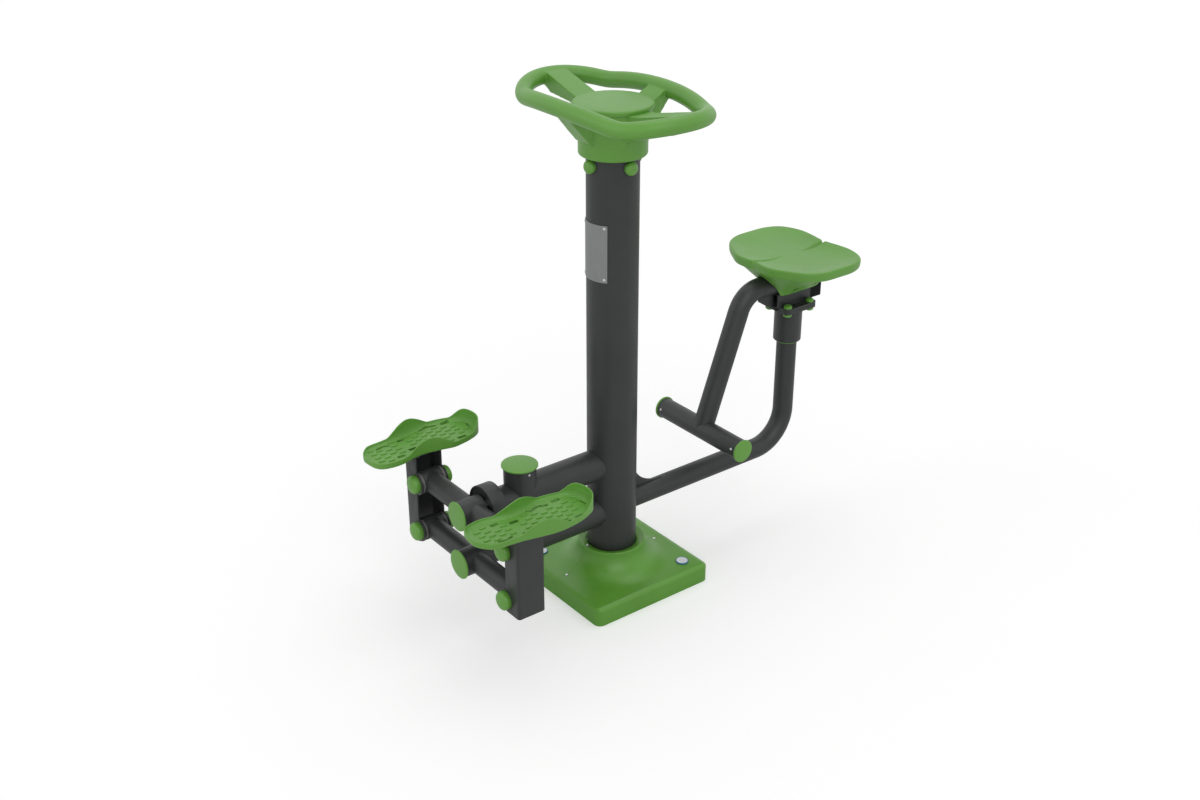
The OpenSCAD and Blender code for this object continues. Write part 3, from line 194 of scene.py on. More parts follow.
class Shader:
    """A Principled material with short calls for its procedural inputs."""

    def __init__(self, name, color, rough, metallic=0.0, specular=0.5):
        self.mat = bpy.data.materials.new(name)
        self.mat.use_nodes = True
        self.tree = self.mat.node_tree
        self.bsdf = self.tree.nodes["Principled BSDF"]
        for key, value in (("Base Color", (*color, 1)), ("Roughness", rough),
                           ("Metallic", metallic), ("Specular IOR Level", specular)):
            self.bsdf.inputs[key].default_value = value
        self.coords = self.tree.nodes.new("ShaderNodeTexCoord").outputs["Object"]
        self.normal = None

    def node(self, kind, **values):
        """A new node with some of its properties set."""
        made = self.tree.nodes.new(kind)
        for key, value in values.items():
            setattr(made, key, value)
        return made

    def link(self, a, b):
        self.tree.links.new(a, b)

    def noise(self, scale, detail=2.0, rough=0.5, stretch=None):
        """Noise of about 1/scale metres; stretch scales the coordinates first."""
        made = self.node("ShaderNodeTexNoise")
        made.inputs["Scale"].default_value = scale
        made.inputs["Detail"].default_value = detail
        made.inputs["Roughness"].default_value = rough
        coords = self.coords
        if stretch:
            mapping = self.node("ShaderNodeMapping")
            mapping.inputs["Scale"].default_value = stretch
            self.link(coords, mapping.inputs["Vector"])
            coords = mapping.outputs[0]
        self.link(coords, made.inputs["Vector"])
        return made.outputs["Fac"]

    def ramp(self, value, low, high, a, b):
        """A value between low and high turned into a colour between a and b."""
        made = self.node("ShaderNodeValToRGB")
        made.color_ramp.elements[0].position = low
        made.color_ramp.elements[1].position = high
        made.color_ramp.elements[0].color = (*a, 1)
        made.color_ramp.elements[1].color = (*b, 1)
        self.link(value, made.inputs[0])
        return made.outputs[0]

    def span(self, value, low, high):
        """A value from 0 to 1 turned into a number between low and high."""
        made = self.node("ShaderNodeMapRange")
        made.inputs["To Min"].default_value = low
        made.inputs["To Max"].default_value = high
        self.link(value, made.inputs[0])
        return made.outputs[0]

    def math(self, operation, a, b=None):
        """A Math node of two values; a number is set on its socket."""
        made = self.node("ShaderNodeMath", operation=operation)
        for socket, value in zip(made.inputs, (a, b)):
            if isinstance(value, (int, float)):
                socket.default_value = value
            elif value is not None:
                self.link(value, socket)
        return made.outputs[0]

    def between(self, value, low, high):
        """0 where the value is below low, 1 where it is above high."""
        made = self.node("ShaderNodeMapRange")
        made.inputs["From Min"].default_value = low
        made.inputs["From Max"].default_value = high
        self.link(value, made.inputs[0])
        return made.outputs[0]

    def color(self, output):
        self.link(output, self.bsdf.inputs["Base Color"])

    def roughness(self, output):
        self.link(output, self.bsdf.inputs["Roughness"])

    def axes(self):
        """The object's coordinates as outputs named X, Y and Z."""
        made = self.node("ShaderNodeSeparateXYZ")
        self.link(self.coords, made.inputs[0])
        return made.outputs

    def bump(self, height, strength, distance):
        """A bump on top of those before it; the distance is in metres."""
        made = self.node("ShaderNodeBump")
        made.inputs["Strength"].default_value = strength
        made.inputs["Distance"].default_value = distance
        self.link(height, made.inputs["Height"])
        if self.normal:
            self.link(self.normal, made.inputs["Normal"])
        self.normal = made.outputs[0]
        self.link(self.normal, self.bsdf.inputs["Normal"])


def tinted(color, factor):
    """The colour made darker or lighter."""
    return tuple(c * factor for c in color)


def orange_peel(shader):
    """The finest waves of powder coat, about a millimetre wide."""
    shader.bump(shader.noise(900, 2, 0.5), 0.12, 0.0004)


def powder_coat(name, color):
    """Satin powder coat: fine orange peel, slight shifts of tone, dust-dulled patches."""
    s = Shader(name, color, 0.4, specular=POWDER_SPECULAR)
    patches = s.noise(6, 4, 0.6)
    s.color(s.ramp(patches, 0.35, 0.7, tinted(color, 0.9), tinted(color, 1.12)))
    s.roughness(s.span(s.noise(14, 5, 0.65), 0.34, 0.5))
    orange_peel(s)
    s.bump(s.noise(120, 2, 0.5), 0.05, 0.001)
    return s.mat


def moulded_plastic(name, color, rough, grain):
    """Through-coloured plastic with a fine eroded grain and soft shifts of tone."""
    s = Shader(name, color, rough)
    s.color(s.ramp(s.noise(5, 3, 0.55), 0.3, 0.72, tinted(color, 0.93), tinted(color, 1.07)))
    s.roughness(s.span(s.noise(30, 4, 0.6), rough - 0.05, rough + 0.07))
    s.bump(s.noise(1500, 2, 0.6), grain, 0.0003)
    s.bump(s.noise(25, 2, 0.5), 0.04, 0.003)
    return s.mat


def zinc(name, color, rough):
    """Zinc plate: spangled tone and uneven gloss."""
    s = Shader(name, color, rough, metallic=1.0)
    s.color(s.ramp(s.noise(180, 3, 0.6), 0.3, 0.7, tinted(color, 0.82), tinted(color, 1.1)))
    s.roughness(s.span(s.noise(260, 3, 0.6), rough - 0.06, rough + 0.14))
    s.bump(s.noise(2200, 2, 0.5), 0.1, 0.0002)
    return s.mat


def turned_steel(name, color, rough):
    """Turned steel: fine rings across the axis, by noise squeezed along Z."""
    s = Shader(name, color, rough, metallic=1.0)
    rings = s.noise(60, 3, 0.6, stretch=(1, 1, 60))
    s.roughness(s.span(rings, rough - 0.08, rough + 0.12))
    s.bump(rings, 0.08, 0.0002)
    return s.mat


def brushed_plate(name, color, rough):
    """Satin aluminium sheet, brushed upwards."""
    s = Shader(name, color, rough, metallic=1.0)
    brush = s.noise(900, 3, 0.6, stretch=(1, 1, 0.02))
    s.color(s.ramp(brush, 0.3, 0.7, tinted(color, 0.85), tinted(color, 1.05)))
    s.roughness(s.span(brush, rough - 0.06, rough + 0.1))
    s.bump(brush, 0.1, 0.0002)
    return s.mat


def rimmed_discs(name):
    """Pale faces with a darker ring at each disc's edge."""
    s = Shader(name, DISC_FACE, 0.3)
    axes = s.axes()
    legs = []
    for axis in ("X", "Y"):
        leg = s.math("SUBTRACT", s.math("ABSOLUTE", axes[axis]), DISC_PLACE * MM)
        legs.append(s.math("MULTIPLY", leg, leg))
    far = s.math("SQRT", s.math("ADD", *legs))
    ring = s.between(far, RING_FROM * MM, RING_TO * MM)
    s.color(s.ramp(ring, 0, 1, DISC_FACE, DISC_RIM))
    s.bump(s.noise(1500, 2, 0.6), 0.03, 0.0003)
    return s.mat


def painted_shade_bracket(name, color, rear_end):
    """Powder coat turned near black by painted shade at the bracket's hidden rear end."""
    s = Shader(name, color, 0.42)
    start = rear_end - REAR_LENGTH * MM
    # painted shade: the bracket's rear end is darkened and its reflection dulled
    rear = s.between(s.axes()["X"], start, start + REAR_SPAN * MM)
    s.color(s.ramp(rear, 0, 1, color, tinted(color, REAR_SHADE_TONE)))
    s.link(s.span(rear, POWDER_SPECULAR, REAR_SHADE_SPECULAR), s.bsdf.inputs["Specular IOR Level"])
    orange_peel(s)
    return s.mat


MATERIALS = {
    "anthracite_steel": powder_coat("anthracite_steel", ANTHRACITE),
    "galvanised_steel": powder_coat("galvanised_steel", GALVANISED),
    "green_plastic": moulded_plastic("green_plastic", GREEN, 0.38, 0.16),
    "cap_plastic": moulded_plastic("cap_plastic", GREEN, 0.34, 0.1),
    "cover_plastic": moulded_plastic("cover_plastic", COVER_GREEN, 0.34, 0.08),
    "disc_plastic": rimmed_discs("disc_plastic"),
    "bush_plastic": moulded_plastic("bush_plastic", BUSH_GREY, 0.45, 0.05),
    "zinc_steel": zinc("zinc_steel", ZINC, 0.34),
    "bright_steel": turned_steel("bright_steel", BRIGHT_STEEL, 0.3),
    "plate_aluminium": brushed_plate("plate_aluminium", ALUMINIUM, 0.45),
}


def set_material(mesh, material):
    """The mesh's one material."""
    mesh.materials.clear()
    mesh.materials.append(material)


def smooth(mesh, sharp_deg=35):
    """Smooth shading, with sharp edges where the faces turn by more than an angle."""
    mesh.shade_smooth()
    mesh.set_sharp_from_angle(angle=math.radians(sharp_deg))


def dress_nodes():
    """Each CAD node takes its slot's material; the seat's bracket has one of its own, with
    painted shade at its rear end.
    """
    slots = {row["node"]: row["material_slot"] for row in frame["record"]["subparts"]}
    for name, obj in nodes.items():
        set_material(obj.data, MATERIALS[slots[name]])
        smooth(obj.data, 32)
    bracket = nodes["seat_bracket"].data
    rear_end = max(v.co.x for v in bracket.vertices)
    # the bracket's material carries painted shade on its rear end
    set_material(bracket, painted_shade_bracket("bracket_steel_painted_shade", ANTHRACITE, rear_end))


dress_nodes()


# Mesh helpers

WELD = 0.02


def add_piece(name, mesh, body, slot, *replaced):
    """Puts a mesh in the scene on its body, with its slot's material."""
    obj = bpy.data.objects.new(name, mesh)
    bpy.context.scene.collection.objects.link(obj)
    set_material(mesh, MATERIALS[slot])
    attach(obj, body)
    if replaced:
        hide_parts(*replaced)


def mesh_from(name, points, faces, sharp_deg=35):
    """Mesh from points in millimetres, with outward normals and smooth shading."""
    mesh = bpy.data.meshes.new(name)
    mesh.from_pydata([tuple(c * MM for c in p) for p in points], [], faces)
    tidy(mesh)
    smooth(mesh, sharp_deg)
    return mesh


def tidy(mesh):
    """Welds points that lie together and turns the normals outwards."""
    bm = bmesh.new()
    bm.from_mesh(mesh)
    bmesh.ops.remove_doubles(bm, verts=bm.verts, dist=WELD * MM)
    bmesh.ops.recalc_face_normals(bm, faces=bm.faces)
    bm.to_mesh(mesh)
    bm.free()


def loft(rings, closed=False, cap_first=True, cap_last=True):
    """Points and faces of a skin through rings that all have the same number of points."""
    n = len(rings[0])
    points = [p for ring in rings for p in ring]
    faces = []
    for k in range(len(rings) if closed else len(rings) - 1):
        a, b = k * n, (k + 1) % len(rings) * n
        for i in range(n):
            j = (i + 1) % n
            faces.append((a + i, a + j, b + j, b + i))
    if not closed:
        for first, wanted in ((0, cap_first), ((len(rings) - 1) * n, cap_last)):
            if wanted:
                faces.append(tuple(range(first, first + n)))
    return points, faces


def merged(*parts):
    """Several (points, faces) lists as one."""
    points, faces = [], []
    for p, f in parts:
        base = len(points)
        points += p
        faces += [tuple(i + base for i in face) for face in f]
    return points, faces


def lathe(profile, steps=128, centre=(0, 0)):
    """Skin of a profile of (radius, height) turned about Z; radius 0 closes it."""
    rings = []
    for r, z in profile:
        rings.append([(centre[0] + r * math.cos(TAU * k / steps),
                       centre[1] + r * math.sin(TAU * k / steps), z) for k in range(steps)])
    return loft(rings)


def arc(centre, radius, start, end, steps):
    """Points on an arc in a plane, angles in degrees."""
    out = []
    for k in range(steps + 1):
        a = math.radians(start + (end - start) * k / steps)
        out.append((centre[0] + radius * math.cos(a), centre[1] + radius * math.sin(a)))
    return out


def smooth_step(t):
    """An eased rise from 0 at t = 0 to 1 at t = 1."""
    u = max(0.0, min(1.0, t))
    return u * u * (3 - 2 * u)


def curve_point(a, b, d, e, t):
    """Point between b and d on the Catmull-Rom curve through four points."""
    return (2 * b + (d - a) * t + (2 * a - 5 * b + 4 * d - e) * t * t
            + (3 * b - a - 3 * d + e) * t ** 3) / 2


def closed_curve(points, n):
    """Curve through a closed list of 2-D points, n steps to each."""
    out = []
    count = len(points)
    for i in range(count):
        near = [Vector(points[(i + k) % count]) for k in (-1, 0, 1, 2)]
        out += [curve_point(*near, k / n) for k in range(n)]
    return out


def open_curve(rows, n):
    """Curve through an open list of points, n steps from each to the next."""
    rows = [Vector(r) for r in rows]
    last = len(rows) - 1
    out = []
    for i in range(last):
        near = [rows[min(max(i + k, 0), last)] for k in (-1, 0, 1, 2)]
        out += [curve_point(*near, k / n) for k in range(n)]
    return out + [rows[-1]]


def round_ring(centre, along, radius, sides):
    """Ring of points about a path that runs along a direction."""
    out = Vector((along.y, -along.x, 0)).normalized()
    up = out.cross(along).normalized()
    return [tuple(centre + radius * (out * math.cos(TAU * i / sides)
                                     + up * math.sin(TAU * i / sides)))
            for i in range(sides)]


def inset(points, width):
    """A closed anticlockwise curve moved inwards."""
    out = []
    count = len(points)
    for i in range(count):
        d = points[(i + 1) % count] - points[i - 1]
        out.append(points[i] + width * Vector((-d.y, d.x)).normalized())
    return out


def fused(name, parts, voxel, rounds):
    """Parts joined into one skin by a voxel remesh in millimetres, its corners rounded off."""
    points, faces = merged(*parts)
    mesh = mesh_from(name, points, faces)
    obj = bpy.data.objects.new(name, mesh)
    bpy.context.scene.collection.objects.link(obj)
    remesh = obj.modifiers.new("skin", "REMESH")
    remesh.mode = "VOXEL"
    remesh.voxel_size = voxel * MM
    soften = obj.modifiers.new("soften", "SMOOTH")
    soften.factor = 0.5
    soften.iterations = rounds
    graph = bpy.context.evaluated_depsgraph_get()
    result = bpy.data.meshes.new_from_object(obj.evaluated_get(graph))
    bpy.data.objects.remove(obj)
    result.name = name
    result.shade_smooth()
    return result


def cut_out(mesh, parts):
    """The mesh less each of the parts, by boolean differences."""
    target = bpy.data.objects.new("target", mesh)
    bpy.context.scene.collection.objects.link(target)
    tools = []
    for part in parts:
        tool = bpy.data.objects.new("tool", mesh_from("tool", *part))
        bpy.context.scene.collection.objects.link(tool)
        cut = target.modifiers.new("cut", "BOOLEAN")
        cut.operation = "DIFFERENCE"
        cut.solver = "EXACT"
        cut.object = tool
        tools.append(tool)
    graph = bpy.context.evaluated_depsgraph_get()
    result = bpy.data.meshes.new_from_object(target.evaluated_get(graph))
    for obj in tools + [target]:
        bpy.data.objects.remove(obj)
    return result


# Handwheel

RIM_Z, RIM_WAVE, RIM_D = 1399.5, 7.3, 44
RIM_HALF_L, RIM_HALF_W = 163.5, 281
RIM_L_SHARES = (1.075, -0.13, 0.055)
RIM_W_SHARES = (0.991, 0.048, 0.057)
HUB_R, SKIRT_R = 105, 89.6
SKIRT_LOW_Z, SKIRT_TOP_Z, LID_Z = 1264.7, 1298.7, 1399
POST_R = 139.7 / 2
SPOKE_W = 70
SPOKE_LEAN = SPOKE_W * 0.2
RIM_VOXEL, RIM_ROUNDS = 1.8, 8


def rim_at(a):
    """Point of the rim's centreline at the angle a in radians, by its odd harmonics."""
    odd = (1, 3, 5)
    return Vector((
        RIM_HALF_L * sum(s * math.cos(k * a) for s, k in zip(RIM_L_SHARES, odd)),
        RIM_HALF_W * sum(s * math.sin(k * a) for s, k in zip(RIM_W_SHARES, odd)),
        RIM_Z + RIM_WAVE * math.cos(4 * a)))


def rim_skin(steps=240, sides=32):
    """The rim as a round tube along its centreline."""
    nudge = 0.01
    rings = []
    for k in range(steps):
        a = TAU * k / steps
        along = rim_at(a + nudge) - rim_at(a - nudge)
        rings.append(round_ring(rim_at(a), along, RIM_D / 2, sides))
    return loft(rings, closed=True)


def spoke_skin(reach, turn, lean):
    """A spoke from the hub to the rim: flat on top, webbed below, narrower outside.

    A short spoke, front or rear, has one even ramp on top and one below.
    """
    short = reach < 2 * SKIRT_R
    high = RIM_Z + RIM_WAVE
    web_z = RIM_Z - 0.72 * RIM_D
    near = reach - RIM_D * 0.78
    web_end = min(SKIRT_R + 0.82 * (web_z - SKIRT_TOP_Z), near - 4)
    web_mid = min(SKIRT_R + 0.45 * (web_z - SKIRT_TOP_Z), (SKIRT_R + 6 + web_end) / 2)
    under_slope = (high - RIM_D * 0.5 - SKIRT_TOP_Z) / (reach - SKIRT_R)
    ramp_from, ramp_z = HUB_R - 8, LID_Z - 12
    ramp_slope = (high + RIM_D * 0.38 - ramp_z) / (reach - ramp_from)
    half = SPOKE_W / 2
    stations = (
        # distance, top, underside, middle of its width, half width
        (0, LID_Z - 14, SKIRT_TOP_Z + 2, 0, half),
        (SKIRT_R - 8, LID_Z - 12, SKIRT_TOP_Z + 6, 0.1 * lean, half),
        (SKIRT_R + 6, LID_Z - 11, SKIRT_TOP_Z + 19, 0.2 * lean, half),
        (web_mid, LID_Z - 9, SKIRT_TOP_Z + 45, 0.35 * lean, half),
        (web_end, LID_Z - 4, web_z - 2, 0.5 * lean, half),
        (near, high + RIM_D * 0.28, max(web_z + 2, high - 0.95 * RIM_D), 0.9 * lean, half - 2),
        (reach + RIM_D * 0.02, high + RIM_D * 0.42, high - RIM_D * 0.45, lean, half - 3),
    )
    spin = math.radians(turn)
    rings = []
    for r, top, low, mid, half_w in stations:
        if short:
            top = ramp_z + max(0, r - ramp_from) * ramp_slope
            low = SKIRT_TOP_Z + 4 + max(0, r - SKIRT_R) * under_slope
        low = min(low, top - 12)
        ring = []
        for side, z in ((-1, low), (1, low), (1, top), (-1, top)):
            y = mid + side * half_w * (0.88 if z == low else 1)
            ring.append((r * math.cos(spin) - y * math.sin(spin),
                         r * math.sin(spin) + y * math.cos(spin), z))
        rings.append(ring)
    return loft(rings)


def hub_skin():
    """The solid hub between the spokes, a little inside the turned hub."""
    low, high = SKIRT_LOW_Z + 6, LID_Z - 16
    return lathe([(0, low), (SKIRT_R - 3, low), (SKIRT_R - 2, SKIRT_TOP_Z),
                  (HUB_R - 8, SKIRT_TOP_Z + 0.95 * RIM_D), (HUB_R - 8, high), (0, high)])


def turned_hub():
    """Half section of the hub: skirt with its bore, cone, groove and rounded lid."""
    bore = POST_R + 0.5
    lip = 3.5
    groove_z = LID_Z - 13
    section = [(bore, SKIRT_LOW_Z + 60), (bore, SKIRT_LOW_Z + 1.5), (bore + 1.5, SKIRT_LOW_Z)]
    section += arc((SKIRT_R - 6, SKIRT_LOW_Z + 6), 6, -90, 0, 8)
    section += [(SKIRT_R, SKIRT_TOP_Z - 3), (SKIRT_R + 0.6, SKIRT_TOP_Z + 1),
                (HUB_R - 7, SKIRT_TOP_Z + RIM_D), (HUB_R - 6, groove_z - 8),
                (HUB_R - 6, groove_z), (HUB_R - 2.5, groove_z)]
    section += arc((HUB_R - lip, LID_Z - 9), lip, -70, 0, 5)
    section += arc((HUB_R - 5, LID_Z - 5), 5, 0, 80, 8)
    section += [(HUB_R - 14, LID_Z + 0.4), (HUB_R * 0.5, LID_Z + 1.2), (0, LID_Z + 1.5)]
    return section


def make_handwheel():
    """The rim with its four spokes as one skin, and the turned hub."""
    spokes = [spoke_skin(RIM_HALF_L, 0, 0), spoke_skin(RIM_HALF_L, 180, 0),
              spoke_skin(RIM_HALF_W, 90, -SPOKE_LEAN), spoke_skin(RIM_HALF_W, 270, SPOKE_LEAN)]
    wheel = fused("handwheel_rim", [rim_skin(), hub_skin(), *spokes], RIM_VOXEL, RIM_ROUNDS)
    hub = mesh_from("handwheel_hub", *lathe(turned_hub(), 160), sharp_deg=40)
    add_piece("handwheel_rim", wheel, "frame", "green_plastic", "handwheel")
    add_piece("handwheel_hub", hub, "frame", "green_plastic")


make_handwheel()


# Ground cover

COVER_W, CORNER_R = 400, 21
SKIRT_H, DECK_Z, BEVEL = 48, 55, 12
COLLAR_Z, COLLAR_R = 125, 96
FLARE_R = COLLAR_Z - DECK_Z
COVER_WALL, COVER_LIP, DECK_SOFT = 4, 3.2, 3.0
SEAM_Y, SEAM_GAP = 6, 0.5


def rounded_square(half, radius, side_steps=20, corner_steps=10):
    """Anticlockwise points of a square with rounded corners, about the origin."""
    out = []
    flat = half - radius
    for quarter in range(4):
        spin = math.radians(quarter * 90)
        turn = (math.cos(spin), math.sin(spin))
        local = [(half, -flat + 2 * flat * k / side_steps) for k in range(side_steps)]
        local += arc((flat, flat), radius, 0, 90, corner_steps)[:-1]
        out += [(x * turn[0] - y * turn[1], x * turn[1] + y * turn[0]) for x, y in local]
    return out


COVER_BASE = rounded_square(COVER_W / 2, CORNER_R)


def cover_circle(radius):
    """The points of the cover's outline moved along their own directions onto a circle."""
    return [(x * radius / math.hypot(x, y), y * radius / math.hypot(x, y))
            for x, y in COVER_BASE]


def cover_rings(shift):
    """Rings from the foot of the skirt to the collar; shift moves the skin inwards."""
    soft = DECK_SOFT
    square_rows = (
        # distance inwards, height
        (0, 0),
        (0, SKIRT_H - soft - shift * 0.3),
        (soft * 0.12, SKIRT_H - soft * 0.3 - shift * 0.4),
        (soft * 0.6, SKIRT_H + soft * 0.5 - shift * 0.5),
        (BEVEL - soft, DECK_Z - soft * 0.5 - shift),
        (BEVEL - soft * 0.2, DECK_Z - soft * 0.12 - shift),
        (BEVEL + soft, DECK_Z - shift))
    rings = []
    for inward, z in square_rows:
        inward += shift
        rings.append((rounded_square(COVER_W / 2 - inward, max(CORNER_R - inward, 4)), z))
    edge = rings[-1][0]
    inner = cover_circle(COLLAR_R + FLARE_R)
    steps = 6
    for k in range(1, steps + 1):
        t = k / steps
        rings.append(([(a[0] + (b[0] - a[0]) * t, a[1] + (b[1] - a[1]) * t)
                       for a, b in zip(edge, inner)], DECK_Z - shift))
    middle = (COLLAR_R + FLARE_R, COLLAR_Z)
    for r, z in arc(middle, FLARE_R + shift, -90, -180, 18)[1:]:
        rings.append((cover_circle(r), min(z, COLLAR_Z - shift)))
    return [[(x, y, z) for x, y in ring] for ring, z in rings]


def cover_skin():
    """The whole cover as one closed shell, collar edge rolled over."""
    bore = POST_R + 1.2
    collar = arc((COLLAR_R - COVER_LIP, COLLAR_Z - COVER_LIP), COVER_LIP, 20, 110, 6)
    collar += [(COLLAR_R - 8, COLLAR_Z - 0.9), (bore + 6, COLLAR_Z - 5.5),
               (bore + 1.2, COLLAR_Z - 7), (bore, COLLAR_Z - 8.4),
               (bore, COLLAR_Z - 14), (bore + 8, COLLAR_Z - 14)]
    rolled = [[(x, y, z) for x, y in cover_circle(r)] for r, z in collar]
    outer = cover_rings(0)
    inner = cover_rings(COVER_WALL)[::-1]
    return loft(outer[:-1] + rolled + inner[1:], closed=True)


def half_of(mesh, name, side):
    """The part of a mesh on one side of the cover's seam, its cut closed."""
    bm = bmesh.new()
    bm.from_mesh(mesh)
    plane = (SEAM_Y + side * SEAM_GAP / 2) * MM
    found = bmesh.ops.bisect_plane(bm, geom=bm.verts[:] + bm.edges[:] + bm.faces[:],
                                   plane_co=(0, plane, 0), plane_no=(0, -side, 0),
                                   clear_outer=True)
    edges = [e for e in found["geom_cut"] if isinstance(e, bmesh.types.BMEdge)]
    bmesh.ops.triangle_fill(bm, use_beauty=True, edges=edges)
    bmesh.ops.recalc_face_normals(bm, faces=bm.faces)
    half = bpy.data.meshes.new(name)
    bm.to_mesh(half)
    bm.free()
    smooth(half)
    return half


def make_cover():
    """The cover's two halves and the discs on opposite corners."""
    whole = mesh_from("cover", *cover_skin())
    for side, name in ((1, "cover_left"), (-1, "cover_right")):
        add_piece(name + "_skin", half_of(whole, name + "_skin", side), "frame",
                  "cover_plastic", name)
    top, edge, dip = DECK_Z + DISC_H, 1.2, 0.4
    profile = [(0, DECK_Z - 1), (DISC_R, DECK_Z - 1), (DISC_R, top - edge)]
    profile += arc((DISC_R - edge, top - edge), edge, 0, 80, 4)[1:]
    profile += [(DISC_R - 3, top), (DISC_R - 3.4, top - dip), (0, top - dip)]
    discs = [lathe(profile, 64, (s * DISC_PLACE, -s * DISC_PLACE)) for s in (1, -1)]
    add_piece("discs", mesh_from("discs", *merged(*discs)), "frame", "disc_plastic",
              "cover_discs")


make_cover()


# Seat

SWIVEL_X = 661.5
TUBE_R = 60.3 / 2
SEAT_L, SEAT_W, SEAT_Z = 294, 383, 847
SEAT_DISH, SEAT_EDGE = 13, 28
SWIVEL_TOP_Z, FLANGE_T, BOX_H, BOSS_GAP = 668, 9, 42, 2
BOSS_HALF_W, BOSS_FRONT, BOSS_BACK, BOSS_POWER = 39, 75, 89, 5
BOSS_LOW_Z = SWIVEL_TOP_Z + 2 * FLANGE_T + BOX_H + BOSS_GAP
CREASE_HALF_W = 4
# where each arm of the crease starts, its length, its depth and how much it widens
FRONT_CREASE, REAR_CREASE = (20, 100, 7.5, 3), (22, 88, 10, 5)
CREASE_ROW, CREASE_FADE = 58, 14
# the seat's outline from its front to its rear, as shares of its length and half width
SEAT_SHARES = ((-0.515, 0), (-0.53, 0.16), (-0.525, 0.36), (-0.463, 0.56), (-0.339, 0.84),
               (-0.17, 0.98), (0.035, 1), (0.212, 0.99), (0.357, 0.9), (0.431, 0.742),
               (0.47, 0.52), (0.463, 0.296), (0.438, 0))


def seat_outline(steps):
    """The seat's outline in its own frame, from the shares of one half."""
    right = [(x * SEAT_L, -y * SEAT_W / 2) for x, y in SEAT_SHARES]
    left = [(x * SEAT_L, y * SEAT_W / 2) for x, y in SEAT_SHARES[-2:0:-1]]
    return closed_curve(right + left, steps)


# the underside, as shares of the way in to the boss and of the fall
SEAT_CONE = ((0.1, 0.075), (0.3, 0.24), (0.5, 0.415), (0.66, 0.56), (0.784, 0.683),
             (0.9, 0.83), (0.97, 0.94), (1, 1))


def seat_profile():
    """(share of the outline, share of the boss, height) from the dish to the boss."""
    fall = SEAT_Z - SEAT_EDGE - BOSS_LOW_Z
    top, low = SEAT_Z, SEAT_Z - SEAT_EDGE
    dish = ((0.05, 1), (0.2, 1), (0.5, 0.9), (0.75, 0.55), (0.9, 0.15))
    rows = [(share, 0, top - SEAT_DISH * deep) for share, deep in dish]
    rows += [
        (0.968, 0, top), (0.984, 0, top - 0.4), (0.993, 0, top - 1.8), (0.998, 0, top - 4),
        (1, 0, top - SEAT_EDGE * 0.35), (0.995, 0, top - SEAT_EDGE * 0.75),
        (0.982, 0, low + 1.2), (0.965, 0, low), (0.95, 0, low)]
    for across, down in SEAT_CONE:
        g = 0.94 * (1 - across)
        rows.append((g, across / (1 - g), low - fall * down))
    return rows


def seat_ease(row):
    """Share of the crease's depth that reaches a row of the profile."""
    return smooth_step((CREASE_ROW - row) / CREASE_FADE)


def crease(x, y):
    """Depth of the seat's middle crease at a point of its top, in its own frame."""
    depth, half_w = 0, CREASE_HALF_W
    for outward, arm in ((-x, FRONT_CREASE), (x, REAR_CREASE)):
        start, length, deep, widen = arm
        share = smooth_step((outward - start) / length)
        depth += deep * share
        half_w += widen * share
    return depth * max(0.0, 1 - abs(y) / half_w)


def seat_skin():
    """The seat from the middle of its dish over the edge and down to the squarish boss."""
    outline = seat_outline(20)
    mid = Vector(((BOSS_BACK - BOSS_FRONT) / 2, 0))
    half_l = (BOSS_BACK + BOSS_FRONT) / 2
    boss = []
    for p in outline:
        a = math.atan2(p.y / (SEAT_W / 2), (p.x - mid.x) / (SEAT_L / 2))
        c, s = math.cos(a), math.sin(a)
        k = (abs(c) ** BOSS_POWER + abs(s) ** BOSS_POWER) ** (-1 / BOSS_POWER)
        boss.append(Vector((mid.x + half_l * k * c, BOSS_HALF_W * k * s)))
    rings = []
    for row, (g, b, z) in enumerate(open_curve(seat_profile(), 5)):
        ring = []
        for p, q in zip(outline, boss):
            place = mid + g * (p - mid) + (1 - g) * b * (q - mid)
            drop = crease(place.x, place.y) * seat_ease(row)
            ring.append((SWIVEL_X + place.x, place.y, z - drop))
        rings.append(ring)
    return loft(rings)


def tube_along(axis, radius, start, end, centre, sides=48):
    """Closed cylinder along X or Y between two places on that axis."""
    rings = []
    for along in (start, end):
        ring = []
        for k in range(sides):
            a = TAU * k / sides
            u, v = centre[0] + radius * math.cos(a), centre[1] + radius * math.sin(a)
            ring.append((along, u, v) if axis == "x" else (u, along, v))
        rings.append(ring)
    return loft(rings)


def block(low, high):
    """Closed box between two corners."""
    (x0, y0, z0), (x1, y1, z1) = low, high
    ring = ((x0, y0), (x1, y0), (x1, y1), (x0, y1))
    return loft([[(x, y, z0) for x, y in ring], [(x, y, z1) for x, y in ring]])


ARM_Z, ARM_GAP = 758.15, 2.2
SEAT_SCREWS = (-31.5, 49.84)
SEAT_SCREW_Z, SEAT_POCKET_R = ARM_Z - 9, 7.5


def seat_cutters():
    """Room for the arm's tube, the slot below it and the four screw recesses."""
    room = TUBE_R + ARM_GAP
    front, clear = SWIVEL_X - 260, 120
    parts = [tube_along("x", room, front, SWIVEL_X + 100, (0, ARM_Z)),
             block((front, -room, BOSS_LOW_Z - 9), (SWIVEL_X + BOSS_BACK * 0.8, room, ARM_Z))]
    for x in SEAT_SCREWS:
        for side in (-1, 1):
            parts.append(tube_along("y", SEAT_POCKET_R, side * (BOSS_HALF_W + 0.6),
                                    side * clear, (SWIVEL_X + x, SEAT_SCREW_Z), 32))
    return parts


def make_seat():
    """The seat's shell with its room for the arm and the screws."""
    shell = cut_out(mesh_from("seat_skin", *seat_skin()), seat_cutters())
    shell.name = "seat_skin"
    smooth(shell, 40)
    add_piece("seat_skin", shell, "seat", "green_plastic", "seat_shell")


make_seat()


# Pedal trays

TRAY_L, TRAY_W = 350, 154
TRAY_HEEL_X, TRAY_Y, TRAY_Z = 633, 262, 462
TRAY_FLOOR, TRAY_RIM = 8.5, 18
